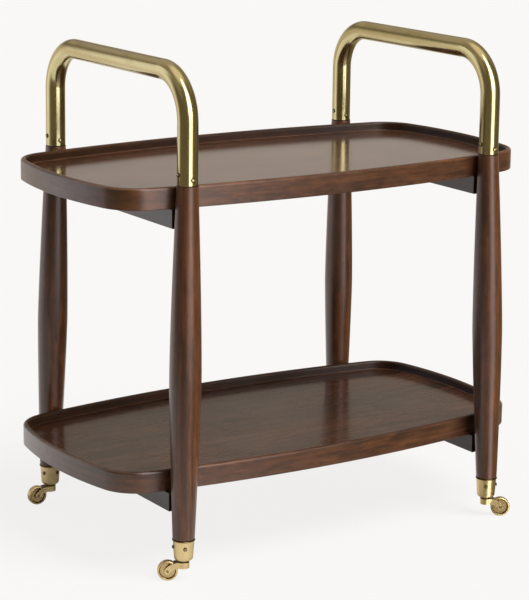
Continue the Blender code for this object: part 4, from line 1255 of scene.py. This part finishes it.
def wheel_mesh(radius, face):
    """Wheel about Y with a hub and recessed webs. Each face is that far from its middle."""
    web = face - WHEEL_WEB_RECESS
    edge, fillet = WHEEL_EDGE_ROUND, WHEEL_WEB_FILLET
    hub, rim = WHEEL_HUB_RADIUS, WHEEL_WEB_OUTER_RADIUS
    hub_foot = arc(
        (hub + fillet, web + fillet), fillet, HALF_TURN, QUARTER_TURN * 3, SMALL_ROUND_STEPS
    )
    rim_foot = arc((rim - fillet, web + fillet), fillet, -QUARTER_TURN, 0, SMALL_ROUND_STEPS)
    tread = arc((radius - edge, face - edge), edge, QUARTER_TURN, 0, ROUND_STEPS)
    half = with_wear_and_shade([(AXLE_RADIUS + RUNNING_GAP, face), (hub - fillet, face)], WHEEL_HUB_WEAR)
    half += with_wear_and_shade([(hub, face - fillet)], WHEEL_EDGE_WEAR)
    # The fillets at the feet of the hub and the rim get near-black painted shade, as in a recess
    half += with_wear_and_shade(hub_foot, WHEEL_HUB_FOOT_PAINTED_SHADE)
    half += with_wear_and_shade([(hub + 3 * fillet, web), (rim - 3 * fillet, web)], WHEEL_WEB_WEAR)
    half += with_wear_and_shade(rim_foot, WHEEL_RIM_FOOT_PAINTED_SHADE)
    half += with_wear_and_shade([(rim, face - fillet)], WHEEL_EDGE_WEAR)
    half += with_wear_and_shade([(rim + fillet, face)], WHEEL_FACE_WEAR) + with_wear_and_shade(tread, 0)
    profile = half + [(r, -z, wear_and_shade) for r, z, wear_and_shade in reversed(half)]
    wheel = turned(profile, TURNED_FACETS, "wheel", closed=True)
    wheel.transform(Matrix.Rotation(QUARTER_TURN, 4, "X"))
    return wheel


def axle_mesh(half_length):
    """Axle about Y with rounded tips."""
    edge = AXLE_TIP_ROUND
    tip = arc((AXLE_RADIUS - edge, half_length - edge), edge, QUARTER_TURN, 0, SMALL_ROUND_STEPS)
    profile = [(AXLE_RADIUS * END_SHARE, half_length)] + tip
    profile += [(r, -z) for r, z in reversed(profile)]
    axle = turned(with_wear_and_shade(profile, 0), SCREW_FACETS, "wheel_axle")
    axle.transform(Matrix.Rotation(QUARTER_TURN, 4, "X"))
    return axle


def make_running_gear(corner, brass, dark_brass):
    """The horn, wheel and axle of one caster, at the swivel angle of their nodes."""
    pin = middle(corner + "_caster_kingpin").to_2d()
    hub = middle(corner + "_wheel")
    trail_vector = hub.to_2d() - pin
    trail = trail_vector.length
    swivel = math.atan2(trail_vector.y, trail_vector.x)
    wheel_radius = hub.z
    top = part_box(corner + "_caster_horn")[1].z
    half_wheel = WHEEL_WIDTH / 2
    turn = Matrix.Translation((*pin, 0)) @ Matrix.Rotation(swivel, 4, "Z")
    at_axle = turn @ Matrix.Translation((trail, 0, wheel_radius))
    horn = horn_mesh(trail, wheel_radius, top, half_wheel)
    horn.transform(turn)
    wheel = wheel_mesh(wheel_radius, half_wheel)
    wheel.transform(at_axle)
    axle = axle_mesh(half_wheel + RUNNING_GAP + HORN_CHEEK + JOINT_GAP)
    axle.transform(at_axle)
    piece = add_piece(corner + "_caster_horn", horn, brass, corner + "_fork")
    bevel = piece.modifiers.new("eased_edges", "BEVEL")
    bevel.width = HORN_EDGE_ROUND
    bevel.segments = BEVEL_SEGMENTS
    bevel.limit_method = "ANGLE"
    bevel.angle_limit = SHARP_ANGLE
    bevel.harden_normals = True
    add_piece(corner + "_wheel_axle", axle, dark_brass, corner + "_fork")
    add_piece(corner + "_wheel", wheel, brass, corner + "_roller")


def build():
    make_camera()
    make_world()
    make_lights()
    make_floor()
    make_card()
    board, rim, turned_wood, rail = [make_wood(name, *look) for name, look in WOODS.items()]
    polished, cast, dark, steel = [make_metal(name, *look) for name, look in METALS.items()]
    for level in LEVELS:
        make_rim(level, rim)
        make_board(level, board)
        for side in SIDES:
            make_rail(level, side, rail)
    for corner in CORNERS:
        make_leg(corner, turned_wood)
        make_cup(corner, cast)
        make_kingpin(corner, dark)
        make_running_gear(corner, cast, dark)
    for side in SIDES:
        make_handle(side, polished)
    make_handle_screws(polished)
    make_cup_screws(dark)
    make_tray_screws(steel)
    bpy.context.scene.view_settings.view_transform = "Standard"


build()
[[list(corner) for corner in box] for box in (cad_bounds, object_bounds())]
